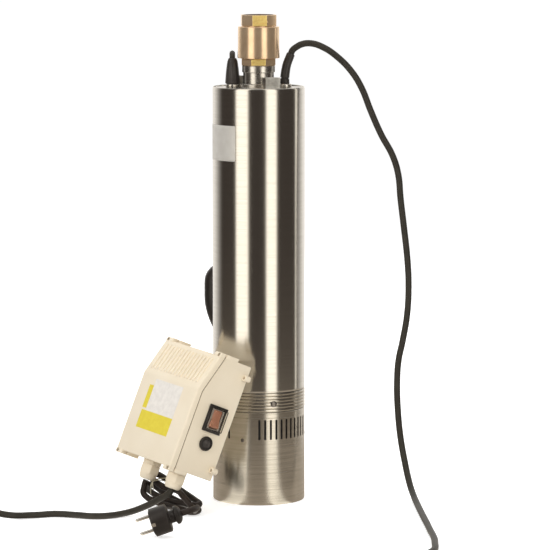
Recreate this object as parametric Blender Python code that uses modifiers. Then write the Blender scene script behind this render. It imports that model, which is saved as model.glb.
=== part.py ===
"""Borehole submersible pump with its check valve, control box, float switch and cords.

Metres, +Z up, +X to the right. The origin is the centre of the strainer cup's base.
"""
import math

import bmesh
import bpy
from mathutils import Euler, Matrix, Vector

# Fits
FIT = 0.0003
RUN_GAP = 0.0008

# Facets of round pieces
OUTER_SIDES = 32
INNER_SIDES = 20
HIDDEN_SIDES = 16
SMALL_SIDES = 10

# Barrel, strainer cup and intake ring
BARREL_RADIUS = 0.0635
BARREL_WALL = 0.0015
LIP_ROUND = 0.0008
CUP_HEIGHT = 0.129
CUP_FLOOR = 0.003
CUP_EDGE = 0.002
CUP_SEAM_DROP = 0.0077
CUP_SEAM = 0.0003
SLOT_WIDTH = 0.003
SLOT_HEIGHT = 0.0275
SLOT_DROP = 0.0101
SLOT_START = math.radians(1)
SLOT_PITCH = math.radians(7.2)
SLOTS_PER_GROUP = 12
SLOT_GROUPS = 3
RING_RIDGES = 6
RING_PITCH = 0.0044
RIDGE_PROUD = 0.0004
GROOVE_DEPTH = 0.0009
RING_BORE = 0.0575
SPIGOT_DOWN = 0.0065
SPIGOT_UP = 0.010

# Pump stages
STAGES = 3
STAGE_HEIGHT = 0.036
STAGE_FIT = 0.0005
BOWL_WALL = 0.002
BOWL_DECK = 0.003
BOWL_DECK_DROP = 0.001
GUIDE_DISC = 0.002
GUIDE_LEVEL = 0.0165
GUIDE_RADIUS = 0.050
GUIDE_VANES = 5
EYE_RADIUS = 0.018
SUCTION_DECK = 0.005
IMPELLER_RADIUS = 0.046
IMPELLER_HUB = 0.0115
SPACER_RADIUS = 0.0095
IMPELLER_VANES = 5
IMPELLER_SWEEP = math.radians(75)
VANE_THICKNESS = 0.0016
SHROUD = 0.0015
IMPELLER_LIFT = 0.0025
IMPELLER_WIDTH = 0.0095
SHAFT_RADIUS = 0.007
NUT_FLATS = 0.016
NUT_HEIGHT = 0.007

# Motor
SEAL_HOUSING_HEIGHT = 0.023
SEAL_RADIUS = 0.013
SEAL_LENGTH = 0.0145
SEAL_DECK = 0.003
WATER_PORTS = 6
MOTOR_RADIUS = 0.047
CAN_WALL = 0.0015
CAN_HEADROOM = 0.0445
COVER_PLATE = 0.008
BEARING_RADIUS = 0.0175
BEARING_BORE = 0.0075
BEARING_WIDTH = 0.011
STATOR_LENGTH = 0.130
STATOR_BORE = 0.025
STATOR_SLOTS = 12
STATOR_SLOT_WIDTH = 0.0058
STATOR_SLOT_END = 0.037
STATOR_LIFT = 0.033
WINDING_GAP = 0.0005
WINDING_HEAD = 0.013
AIR_GAP = 0.0005
ROTOR_SHAFT_RADIUS = 0.010
ROTOR_RING = 0.008
CHIMNEY_RADIUS = 0.0085
CHIMNEY_BORE = 0.005

# Delivery head, its ports and lifting brackets
HEAD_ROOM = 0.0452
HEAD_DROP = 0.0015
HEAD_PLATE = 0.007
HEAD_SKIRT = 0.016
SKIRT_WALL = 0.0032
O_RING = 0.0022
O_RING_DROP = 0.014
BOSS_RADIUS = 0.026
BOSS_HEIGHT = 0.0055
BOSS_BORE = 0.018
PORT_X = 0.036
PORT_Y = 0.012
PORT_RADIUS = 0.007
BRACKET_NEAR = 0.0062
BRACKET_WIDTH = 0.0235
BRACKET_HEIGHT = 0.0150
BRACKET_PLATE = 0.003
BRACKET_CHEEK = 0.0035
BRACKET_REACH = 0.0145
BRACKET_BACK = 0.0215
EYE_HOLE = 0.0085

# Discharge nipple and check valve
NIPPLE_BORE = 0.015
NIPPLE_RADIUS = 0.0212
NIPPLE_HEIGHT = 0.015
COLLAR_RADIUS = 0.02265
COLLAR_HEIGHT = 0.0095
THREAD_RADIUS = 0.0206
THREAD_LENGTH = 0.0113
SEAT_FLATS = 0.0464
SEAT_HEIGHT = 0.0094
SEAT_BORE = 0.0165
SEAT_SPIGOT = 0.0247
SEAT_SPIGOT_LENGTH = 0.0108
VALVE_RADIUS = 0.0285
VALVE_HEIGHT = 0.0433
VALVE_FLARE = 0.0006
CHAMBER_RADIUS = 0.025
TOP_FLATS = 0.0475
TOP_HEIGHT = 0.015
TOP_NECK = 0.0012
TOP_TURN = math.radians(5)
TOP_BORE = 0.0209
SPIDER_DROP = 0.0078
SPIDER_RIBS = 3
SPIDER_RIB = 0.003
SPIDER_HUB = 0.0065
STEM_RADIUS = 0.003
STEM_TOP_DROP = 0.0028
POPPET_RADIUS = 0.0195
POPPET_DISC = 0.0025
POPPET_BOSS = 0.010
POPPET_SEAL_RADIUS = 0.0205
POPPET_SEAL = 0.0025
SPRING_RADIUS = 0.0055
SPRING_WIRE = 0.001
SPRING_TURNS = 4.5

# Control box, in its own frame: x across, y into the back plane, z up
BOX_WIDTH = 0.136
BOX_HEIGHT = 0.164
BOX_DEPTH = 0.073
BOX_RIDGE = 0.112
BOX_SLOPE = 0.3263
BOX_WALL = 0.0025
BOX_ROUND = 0.003
COVER_DEPTH = 0.0087
GASKET = 0.0012
GASKET_INSET = 0.0006
CORNER_BOSS = 0.016
BOSS_PROUD = 0.0047
BOSS_LENGTH = 0.030
RIBS = 17
RIB_PITCH = 0.008
RIB_WIDTH = 0.0035
RIB_PROUD = 0.0008
RIB_MARGIN = 0.006
EAR_RADIUS = 0.00425
EAR_HOLE = 0.00225
EAR_LENGTH = 0.009
EAR_OFFSET = 0.0035
EAR_LOW = 0.0145
EAR_HIGH = 0.147
BOX_TURN = Euler((math.radians(-21.8), math.radians(3.2), math.radians(-55.7)), "XYZ")
CONTACT_ALONG = -0.012
CONTACT_AZIMUTH = math.radians(-147.8)
CONTACT_HEIGHT = 0.2013

# Switch, reset button and what the box holds
SWITCH_DEPTH = 0.0294
SWITCH_LEVEL = 0.0806
BEZEL_WIDTH = 0.0305
BEZEL_HEIGHT = 0.0374
BEZEL_PLATE = 0.0025
SWITCH_BODY_WIDTH = 0.022
SWITCH_BODY_HEIGHT = 0.0305
SWITCH_BODY_LENGTH = 0.018
ROCKER_WIDTH = 0.0135
ROCKER_HEIGHT = 0.0255
ROCKER_TILT = math.radians(10)
ROCKER_RISE = 0.0045
SWITCH_BOOT_HEIGHT = 0.009
SWITCH_BOOT_WALL = 0.0012
RESET_DEPTH = 0.0305
RESET_LEVEL = 0.046
RESET_COLLAR = 0.010
RESET_COLLAR_HEIGHT = 0.0035
RESET_CAP = 0.0068
RESET_PROUD = 0.0055
RESET_TRAVEL = 0.003
BREAKER = (0.030, 0.017, 0.026)
CAPACITOR_RADIUS = 0.018
CAPACITOR_LENGTH = 0.075
CAPACITOR_AT = (-0.034, 0.070)
TERMINALS = (0.052, 0.020, 0.018)
TERMINAL_AT = (0.005, 0.030)
GLAND_DEPTH = 0.035
GLAND_PLACES = (-0.0285, 0.036)
GLAND_FLATS = 0.024
GLAND_FLANGE = 0.0055
GLAND_NUT = 0.0212
GLAND_THREAD = 0.008
GLAND_THREAD_LENGTH = 0.010

# Cables, boots, float and plug
CABLE = 0.009
FLOAT_CABLE = 0.008
MAINS_CORD = 0.0085
CORD_GAP = 0.0003
BOOT_RADIUS = 0.0062
PORT_FLANGE = 0.0095
PORT_FLANGE_HEIGHT = 0.004
FLOAT_BOOT_BASE = 0.0105
FLOAT_BOOT_TIP = 0.0075
FLOAT_BOOT_HEIGHT = 0.0285
COIL_CENTRE = (-0.490, -0.200)
COIL_MEAN_RADIUS = 0.0875
COIL_WIDTH = 0.045
COIL_HEIGHT = 0.042
FLOAT_THICKNESS = 0.041
FLOAT_ROUND = 0.006
PLUG_RADIUS = 0.019
PLUG_LENGTH = 0.024
PLUG_FLANGE = 0.0085
PIN_RADIUS = 0.0024
PIN_LENGTH = 0.019
PIN_SPACING = 0.019
TIE_WIDTH = 0.004
TIE_THICKNESS = 0.0012


def work(name):
    """Start with an empty scene and return the collections for the parts and the cutters."""
    for old in list(bpy.data.objects):
        bpy.data.objects.remove(old, do_unlink=True)
    groups = []
    for title in (name, name + " cutters"):
        group = bpy.data.collections.new(title)
        bpy.context.scene.collection.children.link(group)
        groups.append(group)
    return groups


PARTS, CUTTERS = work("borehole pump")

# Finishes: colour, metallic, roughness
FINISHES = {
    "steel": ((0.62, 0.61, 0.58), 1.0, 0.18),
    "brushed": ((0.55, 0.54, 0.52), 1.0, 0.35),
    "cast": ((0.20, 0.20, 0.21), 0.6, 0.6),
    "brass": ((0.70, 0.50, 0.22), 1.0, 0.25),
    "copper": ((0.72, 0.35, 0.20), 1.0, 0.35),
    "noryl": ((0.06, 0.06, 0.065), 0.0, 0.5),
    "white_plastic": ((0.80, 0.78, 0.72), 0.0, 0.45),
    "ivory": ((0.86, 0.77, 0.62), 0.0, 0.45),
    "black_plastic": ((0.02, 0.02, 0.022), 0.0, 0.35),
    "clear": ((0.75, 0.72, 0.70), 0.0, 0.15),
    "red_plastic": ((0.45, 0.10, 0.05), 0.0, 0.4),
    "rubber": ((0.02, 0.02, 0.02), 0.0, 0.55),
    "tie": ((0.75, 0.72, 0.60), 0.0, 0.5),
}


def dress(obj, finish):
    """Give a part its own material and put it in the parts collection."""
    colour, metallic, roughness = FINISHES[finish]
    made = bpy.data.materials.new(obj.name + "_" + finish)
    made.use_nodes = True
    shader = made.node_tree.nodes["Principled BSDF"]
    shader.inputs["Base Color"].default_value = (*colour, 1.0)
    shader.inputs["Metallic"].default_value = metallic
    shader.inputs["Roughness"].default_value = roughness
    obj.data.materials.clear()
    obj.data.materials.append(made)
    if hasattr(obj.data, "shade_smooth"):
        obj.data.shade_smooth()
        obj.data.set_sharp_from_angle(angle=math.radians(35))
    return obj


def place(name, data):
    """Link a new object to the parts collection."""
    obj = bpy.data.objects.new(name, data)
    PARTS.objects.link(obj)
    return obj


def turned(name, profile, steps=OUTER_SIDES):
    """A solid of revolution about Z; its (radius, height) profile runs down the outer side."""
    points = [(radius, 0, height) for radius, height in profile]
    edges = [(i, i + 1) for i in range(len(points) - 1)]
    if profile[0][0] > 0:
        edges.append((len(points) - 1, 0))
    mesh = bpy.data.meshes.new(name)
    mesh.from_pydata(points, edges, [])
    obj = place(name, mesh)
    screw = obj.modifiers.new("Turn", "SCREW")
    screw.steps = screw.render_steps = steps
    screw.use_merge_vertices = True
    screw.merge_threshold = 1e-5
    screw.use_smooth_shade = True
    return obj


def ring(name, outer, inner, low, high, steps=OUTER_SIDES):
    """A plain tube or washer about Z."""
    return turned(name, [(outer, high), (outer, low), (inner, low), (inner, high)], steps)


def block(bm, low, high, turn=Matrix.Identity(4)):
    """Add a box between two corners to a bmesh."""
    low, high = Vector(low), Vector(high)
    middle = Matrix.Translation((low + high) / 2)
    size = Matrix.Diagonal((*(high - low), 1))
    bmesh.ops.create_cube(bm, size=1.0, matrix=turn @ middle @ size)


def rod(bm, radius, low, high, turn=Matrix.Identity(4), sides=SMALL_SIDES, tip=None, at=(0, 0)):
    """Add a cylinder, cone or prism along the turned Z axis to a bmesh."""
    middle = Matrix.Translation((at[0], at[1], (low + high) / 2))
    tip = radius if tip is None else tip
    bmesh.ops.create_cone(bm, cap_ends=True, segments=sides, radius1=radius, radius2=tip,
                          depth=high - low, matrix=turn @ middle)


def solid(name, fill):
    """An object whose mesh is made by fill(bm)."""
    bm = bmesh.new()
    fill(bm)
    mesh = bpy.data.meshes.new(name)
    bm.to_mesh(mesh)
    bm.free()
    return place(name, mesh)


def baked(obj):
    """Replace an object by a plain mesh of the shape that its modifiers or curve give."""
    bpy.context.view_layer.update()
    mesh = bpy.data.meshes.new_from_object(obj.evaluated_get(bpy.context.evaluated_depsgraph_get()))
    bm = bmesh.new()
    bm.from_mesh(mesh)
    bmesh.ops.remove_doubles(bm, verts=bm.verts, dist=1e-6)
    bmesh.ops.recalc_face_normals(bm, faces=bm.faces)
    bm.to_mesh(mesh)
    bm.free()
    name = obj.name
    turn = obj.matrix_world.copy()
    bpy.data.objects.remove(obj, do_unlink=True)
    made = place(name, mesh)
    made.matrix_world = turn
    return made


def plate(name, outline, thickness, holes=(), turn=Matrix.Identity(4)):
    """A flat outline in the turned XY plane, with holes, given a thickness either side of it."""
    curve = bpy.data.curves.new(name, "CURVE")
    curve.dimensions = "2D"
    curve.fill_mode = "BOTH"
    curve.extrude = thickness / 2
    for loop in (outline, *holes):
        spline = curve.splines.new("POLY")
        spline.points.add(len(loop) - 1)
        for point, (x, y) in zip(spline.points, loop):
            point.co = (x, y, 0, 1)
        spline.use_cyclic_u = True
    obj = place(name, curve)
    obj.matrix_world = turn
    return baked(obj)


def boolean(target, tool, operation):
    """Cut, join or intersect with a tool, which becomes a cutter."""
    step = target.modifiers.new(operation.title(), "BOOLEAN")
    step.operation = operation
    step.solver = "EXACT"
    step.object = tool
    tool.name = target.name + "_" + operation.lower() + "_" + tool.name
    tool.hide_render = True
    tool.display_type = "WIRE"
    PARTS.objects.unlink(tool)
    CUTTERS.objects.link(tool)
    return target


def cut(target, tool):
    """Take a tool's shape out of a part."""
    return boolean(target, tool, "DIFFERENCE")


def join(target, tool):
    """Add a tool's shape to a part."""
    return boolean(target, tool, "UNION")


def smooth_route(points, spacing):
    """Points every spacing or so along a smooth curve through a route's points."""
    points = [Vector(point) for point in points]
    padded = [2 * points[0] - points[1], *points, 2 * points[-1] - points[-2]]
    route = [points[0]]
    for before, start, end, after in zip(padded, padded[1:], padded[2:], padded[3:]):
        knots = [0.0]
        for first, second in ((before, start), (start, end), (end, after)):
            knots.append(knots[-1] + (second - first).length ** 0.5)
        count = max(1, round((end - start).length / spacing))
        for step in range(1, count + 1):
            t = knots[1] + (knots[2] - knots[1]) * step / count
            a = before.lerp(start, (t - knots[0]) / (knots[1] - knots[0]))
            b = start.lerp(end, (t - knots[1]) / (knots[2] - knots[1]))
            c = end.lerp(after, (t - knots[2]) / (knots[3] - knots[2]))
            d = a.lerp(b, (t - knots[0]) / (knots[2] - knots[0]))
            e = b.lerp(c, (t - knots[1]) / (knots[3] - knots[1]))
            route.append(d.lerp(e, (t - knots[1]) / (knots[2] - knots[1])))
    return route


def tube(name, route, diameter, sides_level=2):
    """A round cord or wire along a route of points, with closed ends."""
    curve = bpy.data.curves.new(name, "CURVE")
    curve.dimensions = "3D"
    curve.bevel_depth = diameter / 2
    curve.bevel_resolution = sides_level
    curve.use_fill_caps = True
    spline = curve.splines.new("POLY")
    spline.points.add(len(route) - 1)
    for point, place_at in zip(spline.points, route):
        point.co = (*place_at, 1)
    return baked(place(name, curve))


# Levels of the barrel stack, from the base up
SLEEVE_BORE = BARREL_RADIUS - BARREL_WALL
INSERT_RADIUS = SLEEVE_BORE - FIT
RING_BASE = CUP_HEIGHT + FIT
RING_TOP = RING_BASE + RING_RIDGES * RING_PITCH
SLEEVE_BASE = RING_TOP + FIT
SUCTION_BASE = RING_TOP + SPIGOT_UP + FIT
STAGE_BASES = [SUCTION_BASE + SUCTION_DECK + FIT + i * (STAGE_HEIGHT + FIT) for i in range(STAGES)]
SEAL_BASE = STAGE_BASES[-1] + STAGE_HEIGHT + FIT
SEAL_TOP = SEAL_BASE + SEAL_HOUSING_HEIGHT
LOWER_COVER_BASE = SEAL_TOP + FIT
LOWER_BEARING_BASE = LOWER_COVER_BASE + COVER_PLATE + FIT
CAN_BASE = LOWER_COVER_BASE + COVER_PLATE + FIT
CAN_LENGTH = STATOR_LIFT + STATOR_LENGTH + CAN_HEADROOM
CAN_TOP = CAN_BASE + CAN_LENGTH
CAN_BORE = MOTOR_RADIUS - CAN_WALL
UPPER_BEARING_TOP = CAN_TOP
STATOR_BASE = CAN_BASE + STATOR_LIFT
STATOR_TOP = STATOR_BASE + STATOR_LENGTH
HEAD_UNDER = CAN_TOP + HEAD_ROOM
HEAD_TOP = HEAD_UNDER + HEAD_PLATE
SLEEVE_TOP = HEAD_TOP + HEAD_DROP
BOSS_TOP = HEAD_TOP + BOSS_HEIGHT
NIPPLE_BASE = BOSS_TOP + FIT
COLLAR_BASE = NIPPLE_BASE + NIPPLE_HEIGHT
COLLAR_TOP = COLLAR_BASE + COLLAR_HEIGHT
THREAD_TOP = COLLAR_TOP + THREAD_LENGTH
SEAT_BASE = COLLAR_TOP + FIT
SEAT_SHOULDER = SEAT_BASE + SEAT_HEIGHT
SEAT_TOP = SEAT_SHOULDER + SEAT_SPIGOT_LENGTH
VALVE_BASE = SEAT_SHOULDER + FIT
VALVE_TOP = VALVE_BASE + VALVE_HEIGHT
OUTLET_BASE = VALVE_TOP + TOP_NECK
OUTLET_TOP = OUTLET_BASE + TOP_HEIGHT
SPIDER_BASE = VALVE_TOP - SPIDER_DROP
DISC_BASE = SEAT_TOP + POPPET_SEAL + 2 * FIT
DISC_TOP = DISC_BASE + POPPET_DISC


def strainer_cup():
    """Thin cup with a flat closed bottom and groups of upright slots under its rim."""
    inner = BARREL_RADIUS - BARREL_WALL
    seam = CUP_HEIGHT - CUP_SEAM_DROP
    cup = turned("strainer_cup", [
        (BARREL_RADIUS, CUP_HEIGHT),
        (BARREL_RADIUS, seam + CUP_SEAM),
        (BARREL_RADIUS - CUP_SEAM, seam),
        (BARREL_RADIUS, seam - CUP_SEAM),
        (BARREL_RADIUS, CUP_EDGE),
        (BARREL_RADIUS - CUP_EDGE * 0.3, CUP_EDGE * 0.3),
        (BARREL_RADIUS - CUP_EDGE, 0),
        (0, 0),
        (0, CUP_FLOOR),
        (inner - CUP_EDGE, CUP_FLOOR),
        (inner, CUP_FLOOR + CUP_EDGE),
        (inner, CUP_HEIGHT),
    ])
    slot_top = CUP_HEIGHT - SLOT_DROP

    def slots(bm):
        for group in range(SLOT_GROUPS):
            for slot in range(SLOTS_PER_GROUP):
                angle = math.tau * group / SLOT_GROUPS + SLOT_START + slot * SLOT_PITCH
                block(bm, (-SLOT_WIDTH / 2, -BARREL_RADIUS - BARREL_WALL, slot_top - SLOT_HEIGHT),
                      (SLOT_WIDTH / 2, 2 * BARREL_WALL - BARREL_RADIUS, slot_top),
                      Matrix.Rotation(angle, 4, "Z"))

    return dress(cut(cup, solid("slots", slots)), "brushed")


def intake_ring():
    """Ribbed ring between cup and sleeve, with a spigot into each."""
    profile = [(INSERT_RADIUS, RING_TOP + SPIGOT_UP), (INSERT_RADIUS, RING_TOP)]
    ridge = BARREL_RADIUS + RIDGE_PROUD
    groove = BARREL_RADIUS - GROOVE_DEPTH
    for i in range(RING_RIDGES):
        top = RING_TOP - i * RING_PITCH
        profile += [(groove, top), (ridge, top - RING_PITCH / 2)]
    profile += [(groove, RING_BASE), (INSERT_RADIUS, RING_BASE)]
    profile += [(INSERT_RADIUS, RING_BASE - SPIGOT_DOWN), (RING_BORE, RING_BASE - SPIGOT_DOWN)]
    profile += [(RING_BORE, RING_TOP + SPIGOT_UP)]
    return dress(turned("intake_ring", profile), "steel")


def outer_sleeve():
    """The barrel's long tube, its top lip rounded."""
    middle = (BARREL_RADIUS + SLEEVE_BORE) / 2
    sleeve = turned("outer_sleeve", [
        (middle, SLEEVE_TOP),
        (BARREL_RADIUS, SLEEVE_TOP - LIP_ROUND),
        (BARREL_RADIUS, SLEEVE_BASE),
        (SLEEVE_BORE, SLEEVE_BASE),
        (SLEEVE_BORE, SLEEVE_TOP - LIP_ROUND),
    ])
    return dress(sleeve, "steel")


def suction_plate():
    """Deck under the first stage, with the eye that the first impeller draws through."""
    top = SUCTION_BASE + SUCTION_DECK
    deck = turned("suction_plate", [
        (INSERT_RADIUS, top),
        (INSERT_RADIUS, SUCTION_BASE),
        (EYE_RADIUS + SUCTION_DECK, SUCTION_BASE),
        (EYE_RADIUS, SUCTION_BASE + SUCTION_DECK / 2),
        (EYE_RADIUS, top),
    ], INNER_SIDES)
    return dress(deck, "noryl")


def vane_outline(inner, outer, sweep, thickness, lead=0.0, steps=2):
    """Outline of a curved vane that runs from one radius to another while it sweeps round."""
    sides = ([], [])
    for i in range(steps + 1):
        share = i / steps
        radius = inner + (outer - inner) * share
        angle = lead + sweep * share
        half = thickness / 2 / radius
        for side, sign in zip(sides, (1, -1)):
            side.append((radius * math.cos(angle + sign * half), radius * math.sin(angle + sign * half)))
    return sides[0] + sides[1][::-1]


def impeller(index):
    """Closed impeller: hub and back shroud, swept-back vanes, front shroud with its eye neck."""
    base = STAGE_BASES[index] + IMPELLER_LIFT
    top = base + IMPELLER_WIDTH
    neck = EYE_RADIUS - RUN_GAP
    bore = SHAFT_RADIUS + FIT
    hub_base = base - IMPELLER_LIFT
    neck_base = hub_base - 2 * SHROUD
    stage_top = STAGE_BASES[index] + STAGE_HEIGHT
    body = turned(f"impeller_{index + 1}", [
        (SPACER_RADIUS, stage_top),
        (SPACER_RADIUS, top),
        (IMPELLER_RADIUS, top),
        (IMPELLER_RADIUS, top - SHROUD),
        (IMPELLER_HUB, top - 2 * SHROUD),
        (SPACER_RADIUS, hub_base),
        (bore, hub_base),
        (bore, stage_top),
    ], HIDDEN_SIDES)
    shroud = turned("front_shroud", [
        (IMPELLER_RADIUS, base + SHROUD),
        (IMPELLER_RADIUS, base),
        (neck, base),
        (neck, neck_base),
        (neck - SHROUD, neck_base),
        (neck - SHROUD, base + SHROUD),
    ], HIDDEN_SIDES)
    join(body, shroud)
    middle = Matrix.Translation((0, 0, (base + top) / 2))
    for i in range(IMPELLER_VANES):
        lead = math.tau * i / IMPELLER_VANES
        outline = vane_outline(neck - SHROUD / 2, IMPELLER_RADIUS - SHROUD / 2, -IMPELLER_SWEEP,
                               VANE_THICKNESS, lead)
        join(body, plate(f"vane_{i}", outline, IMPELLER_WIDTH - SHROUD, turn=middle))
    return dress(body, "noryl")


def diffuser(index):
    """Stage bowl: wall and deck with the next eye, and return vanes carrying the guide disc."""
    base = STAGE_BASES[index]
    top = base + STAGE_HEIGHT
    outer = SLEEVE_BORE - STAGE_FIT
    inner = outer - BOWL_WALL
    deck = top - BOWL_DECK_DROP - BOWL_DECK
    guide = base + GUIDE_LEVEL
    bowl = turned(f"diffuser_{index + 1}", [
        (outer, top),
        (outer, base),
        (inner, base),
        (inner, deck),
        (EYE_RADIUS, deck),
        (EYE_RADIUS, deck + BOWL_DECK),
        (inner, deck + BOWL_DECK),
        (inner, top),
    ], HIDDEN_SIDES)
    bore = SPACER_RADIUS + RUN_GAP
    join(bowl, ring("guide_disc", GUIDE_RADIUS, bore, guide, guide + GUIDE_DISC, HIDDEN_SIDES))
    low = guide + GUIDE_DISC / 2
    high = deck + BOWL_DECK / 2
    middle = Matrix.Translation((0, 0, (low + high) / 2))
    for i in range(GUIDE_VANES):
        lead = math.tau * i / GUIDE_VANES
        outline = vane_outline(EYE_RADIUS + BOWL_WALL, inner + BOWL_WALL / 2, IMPELLER_SWEEP / 2,
                               VANE_THICKNESS, lead)
        join(bowl, plate(f"vane_{i}", outline, high - low, turn=middle))
    return dress(bowl, "noryl")


def shaft_nut():
    """Nut that holds the impellers on the shaft's lower end."""
    top = STAGE_BASES[0] - FIT
    corner = NUT_FLATS / 2 / math.cos(math.pi / 6)
    nut = solid("shaft_nut", lambda bm: rod(bm, corner, top - NUT_HEIGHT, top, sides=6))
    bore = SHAFT_RADIUS + FIT
    hole = solid("bore", lambda bm: rod(bm, bore, top - 2 * NUT_HEIGHT, top + NUT_HEIGHT, sides=INNER_SIDES))
    return dress(cut(nut, hole), "brushed")


def pump_shaft():
    """Stepped shaft: pump end, journals in the two bearings, thicker stretch in the rotor."""
    nut_end = STAGE_BASES[0] - FIT - NUT_HEIGHT - SHROUD
    journal = BEARING_BORE - FIT
    low_journal = LOWER_BEARING_BASE + BEARING_WIDTH + FIT
    high_journal = UPPER_BEARING_TOP - BEARING_WIDTH - FIT
    chamfer = SHROUD / 2
    shaft = turned("pump_shaft", [
        (0, UPPER_BEARING_TOP),
        (journal - chamfer, UPPER_BEARING_TOP),
        (journal, UPPER_BEARING_TOP - chamfer),
        (journal, high_journal),
        (ROTOR_SHAFT_RADIUS, high_journal),
        (ROTOR_SHAFT_RADIUS, low_journal),
        (journal, low_journal),
        (journal, LOWER_BEARING_BASE),
        (SHAFT_RADIUS, LOWER_BEARING_BASE),
        (SHAFT_RADIUS, nut_end + chamfer),
        (SHAFT_RADIUS - chamfer, nut_end),
        (0, nut_end),
    ], HIDDEN_SIDES)
    return dress(shaft, "brushed")


def seal_housing():
    """Ring and deck over the last stage, with water ports round a hub that holds the shaft seal."""
    outer = SLEEVE_BORE - STAGE_FIT
    inner = outer - BOWL_WALL
    deck = SEAL_BASE + SEAL_HOUSING_HEIGHT / 2
    hub_inner = SEAL_RADIUS + RUN_GAP
    hub_outer = hub_inner + BOWL_WALL
    shaft_hole = SHAFT_RADIUS + RUN_GAP
    hub_base = SEAL_TOP - SEAL_DECK - SEAL_LENGTH - RUN_GAP
    housing = turned("seal_housing", [
        (outer, SEAL_TOP - SEAL_DECK),
        (outer, SEAL_BASE),
        (inner, SEAL_BASE),
        (inner, deck),
        (hub_outer, deck),
        (hub_outer, hub_base),
        (hub_inner, hub_base),
        (hub_inner, SEAL_TOP - SEAL_DECK),
        (shaft_hole, SEAL_TOP - SEAL_DECK),
        (shaft_hole, SEAL_TOP),
        (MOTOR_RADIUS - CAN_WALL, SEAL_TOP),
        (MOTOR_RADIUS - CAN_WALL, deck + SEAL_DECK),
        (inner, deck + SEAL_DECK),
        (inner, SEAL_TOP - SEAL_DECK),
    ], HIDDEN_SIDES)
    port_middle = (MOTOR_RADIUS + inner) / 2
    port = (inner - MOTOR_RADIUS) / 2 - FIT

    def ports(bm):
        for i in range(WATER_PORTS):
            angle = math.tau * i / WATER_PORTS
            centre = (port_middle * math.cos(angle), port_middle * math.sin(angle))
            rod(bm, port, deck - SEAL_DECK, deck + 2 * SEAL_DECK, sides=6, at=centre)

    return dress(cut(housing, solid("ports", ports)), "noryl")


def mechanical_seal():
    """Rotating seal on the shaft: spring cup below, carbon face above."""
    top = SEAL_TOP - SEAL_DECK - RUN_GAP
    base = top - SEAL_LENGTH + RUN_GAP
    bore = SHAFT_RADIUS + FIT
    seal = turned("mechanical_seal", [
        (SEAL_RADIUS * 0.8, top),
        (SEAL_RADIUS * 0.8, top - SEAL_LENGTH * 0.25),
        (SEAL_RADIUS, top - SEAL_LENGTH * 0.25),
        (SEAL_RADIUS, base),
        (bore, base),
        (bore, top),
    ], HIDDEN_SIDES)
    return dress(seal, "black_plastic")


def motor_cover_profile(face, sign, bore):
    """Profile of a motor end cover whose outer face is at a level and whose spigot points along sign."""
    shoulder = face + sign * COVER_PLATE
    end = shoulder + sign * (BEARING_WIDTH + FIT)
    seat = BEARING_RADIUS + FIT
    spigot = CAN_BORE - FIT
    profile = [
        (MOTOR_RADIUS, shoulder),
        (MOTOR_RADIUS, face),
        (bore, face),
        (bore, shoulder),
        (seat, shoulder),
        (seat, end),
        (spigot, end),
        (spigot, shoulder),
    ]
    return profile if sign > 0 else profile[::-1]


def lower_motor_cover():
    """Motor cover with the lower bearing's seat and the shaft's hole."""
    profile = motor_cover_profile(LOWER_COVER_BASE, 1, SHAFT_RADIUS + FIT)
    return dress(turned("lower_motor_cover", profile, HIDDEN_SIDES), "cast")


def motor_top_cover():
    """Upper motor cover with the bearing's seat and two chimneys for the cables."""
    face = CAN_TOP + FIT + COVER_PLATE
    profile = motor_cover_profile(face, -1, SHAFT_RADIUS)
    cover = turned("motor_top_cover", profile, HIDDEN_SIDES)
    top = HEAD_UNDER - FIT
    join(cover, solid("cap", lambda bm: rod(bm, BEARING_RADIUS, face - COVER_PLATE / 2,
                                            face + CAN_WALL, sides=INNER_SIDES)))
    for side in (-1, 1):
        at = (side * PORT_X, PORT_Y)
        join(cover, solid("chimney", lambda bm: rod(bm, CHIMNEY_RADIUS, face - COVER_PLATE / 2, top, at=at)))
        cut(cover, solid("way", lambda bm: rod(bm, CHIMNEY_BORE, face - 3 * COVER_PLATE, top + FIT, at=at)))
    return dress(cover, "cast")


def motor_can():
    """Tube between the two motor covers."""
    return dress(ring("motor_can", MOTOR_RADIUS, CAN_BORE, CAN_BASE, CAN_TOP, HIDDEN_SIDES), "brushed")


def bearing(name, base):
    """Ball bearing as one ring, with the groove between its races."""
    top = base + BEARING_WIDTH
    race = (BEARING_RADIUS - BEARING_BORE) / 3
    groove = SHROUD / 2
    rings = turned(name, [
        (BEARING_RADIUS, top),
        (BEARING_RADIUS, base),
        (BEARING_BORE, base),
        (BEARING_BORE, top),
        (BEARING_BORE + race, top),
        (BEARING_BORE + race, top - groove),
        (BEARING_RADIUS - race, top - groove),
        (BEARING_RADIUS - race, top),
    ], HIDDEN_SIDES)
    return dress(rings, "steel")


def slot_points(inner, outer, width, angle, mouth):
    """Corners of a radial slot, from its mouth outwards and back."""
    turn = Matrix.Rotation(angle, 2)
    corners = [(mouth, -width / 4), (inner, -width / 4), (inner, -width / 2), (outer, -width / 2),
               (outer, width / 2), (inner, width / 2), (inner, width / 4), (mouth, width / 4)]
    return [tuple(turn @ Vector(corner)) for corner in corners]


def circle(radius, count):
    """Points round a circle."""
    return [(radius * math.cos(math.tau * i / count), radius * math.sin(math.tau * i / count))
            for i in range(count)]


def stator_core():
    """Laminated ring with half-closed slots round its bore."""
    bore = []
    for i in range(STATOR_SLOTS):
        bore += slot_points(STATOR_BORE + SHROUD, STATOR_SLOT_END, STATOR_SLOT_WIDTH,
                            math.tau * i / STATOR_SLOTS, STATOR_BORE)
    middle = Matrix.Translation((0, 0, (STATOR_BASE + STATOR_TOP) / 2))
    core = plate("stator_core", circle(CAN_BORE - FIT, HIDDEN_SIDES), STATOR_LENGTH, [bore], middle)
    return dress(core, "cast")


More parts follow.
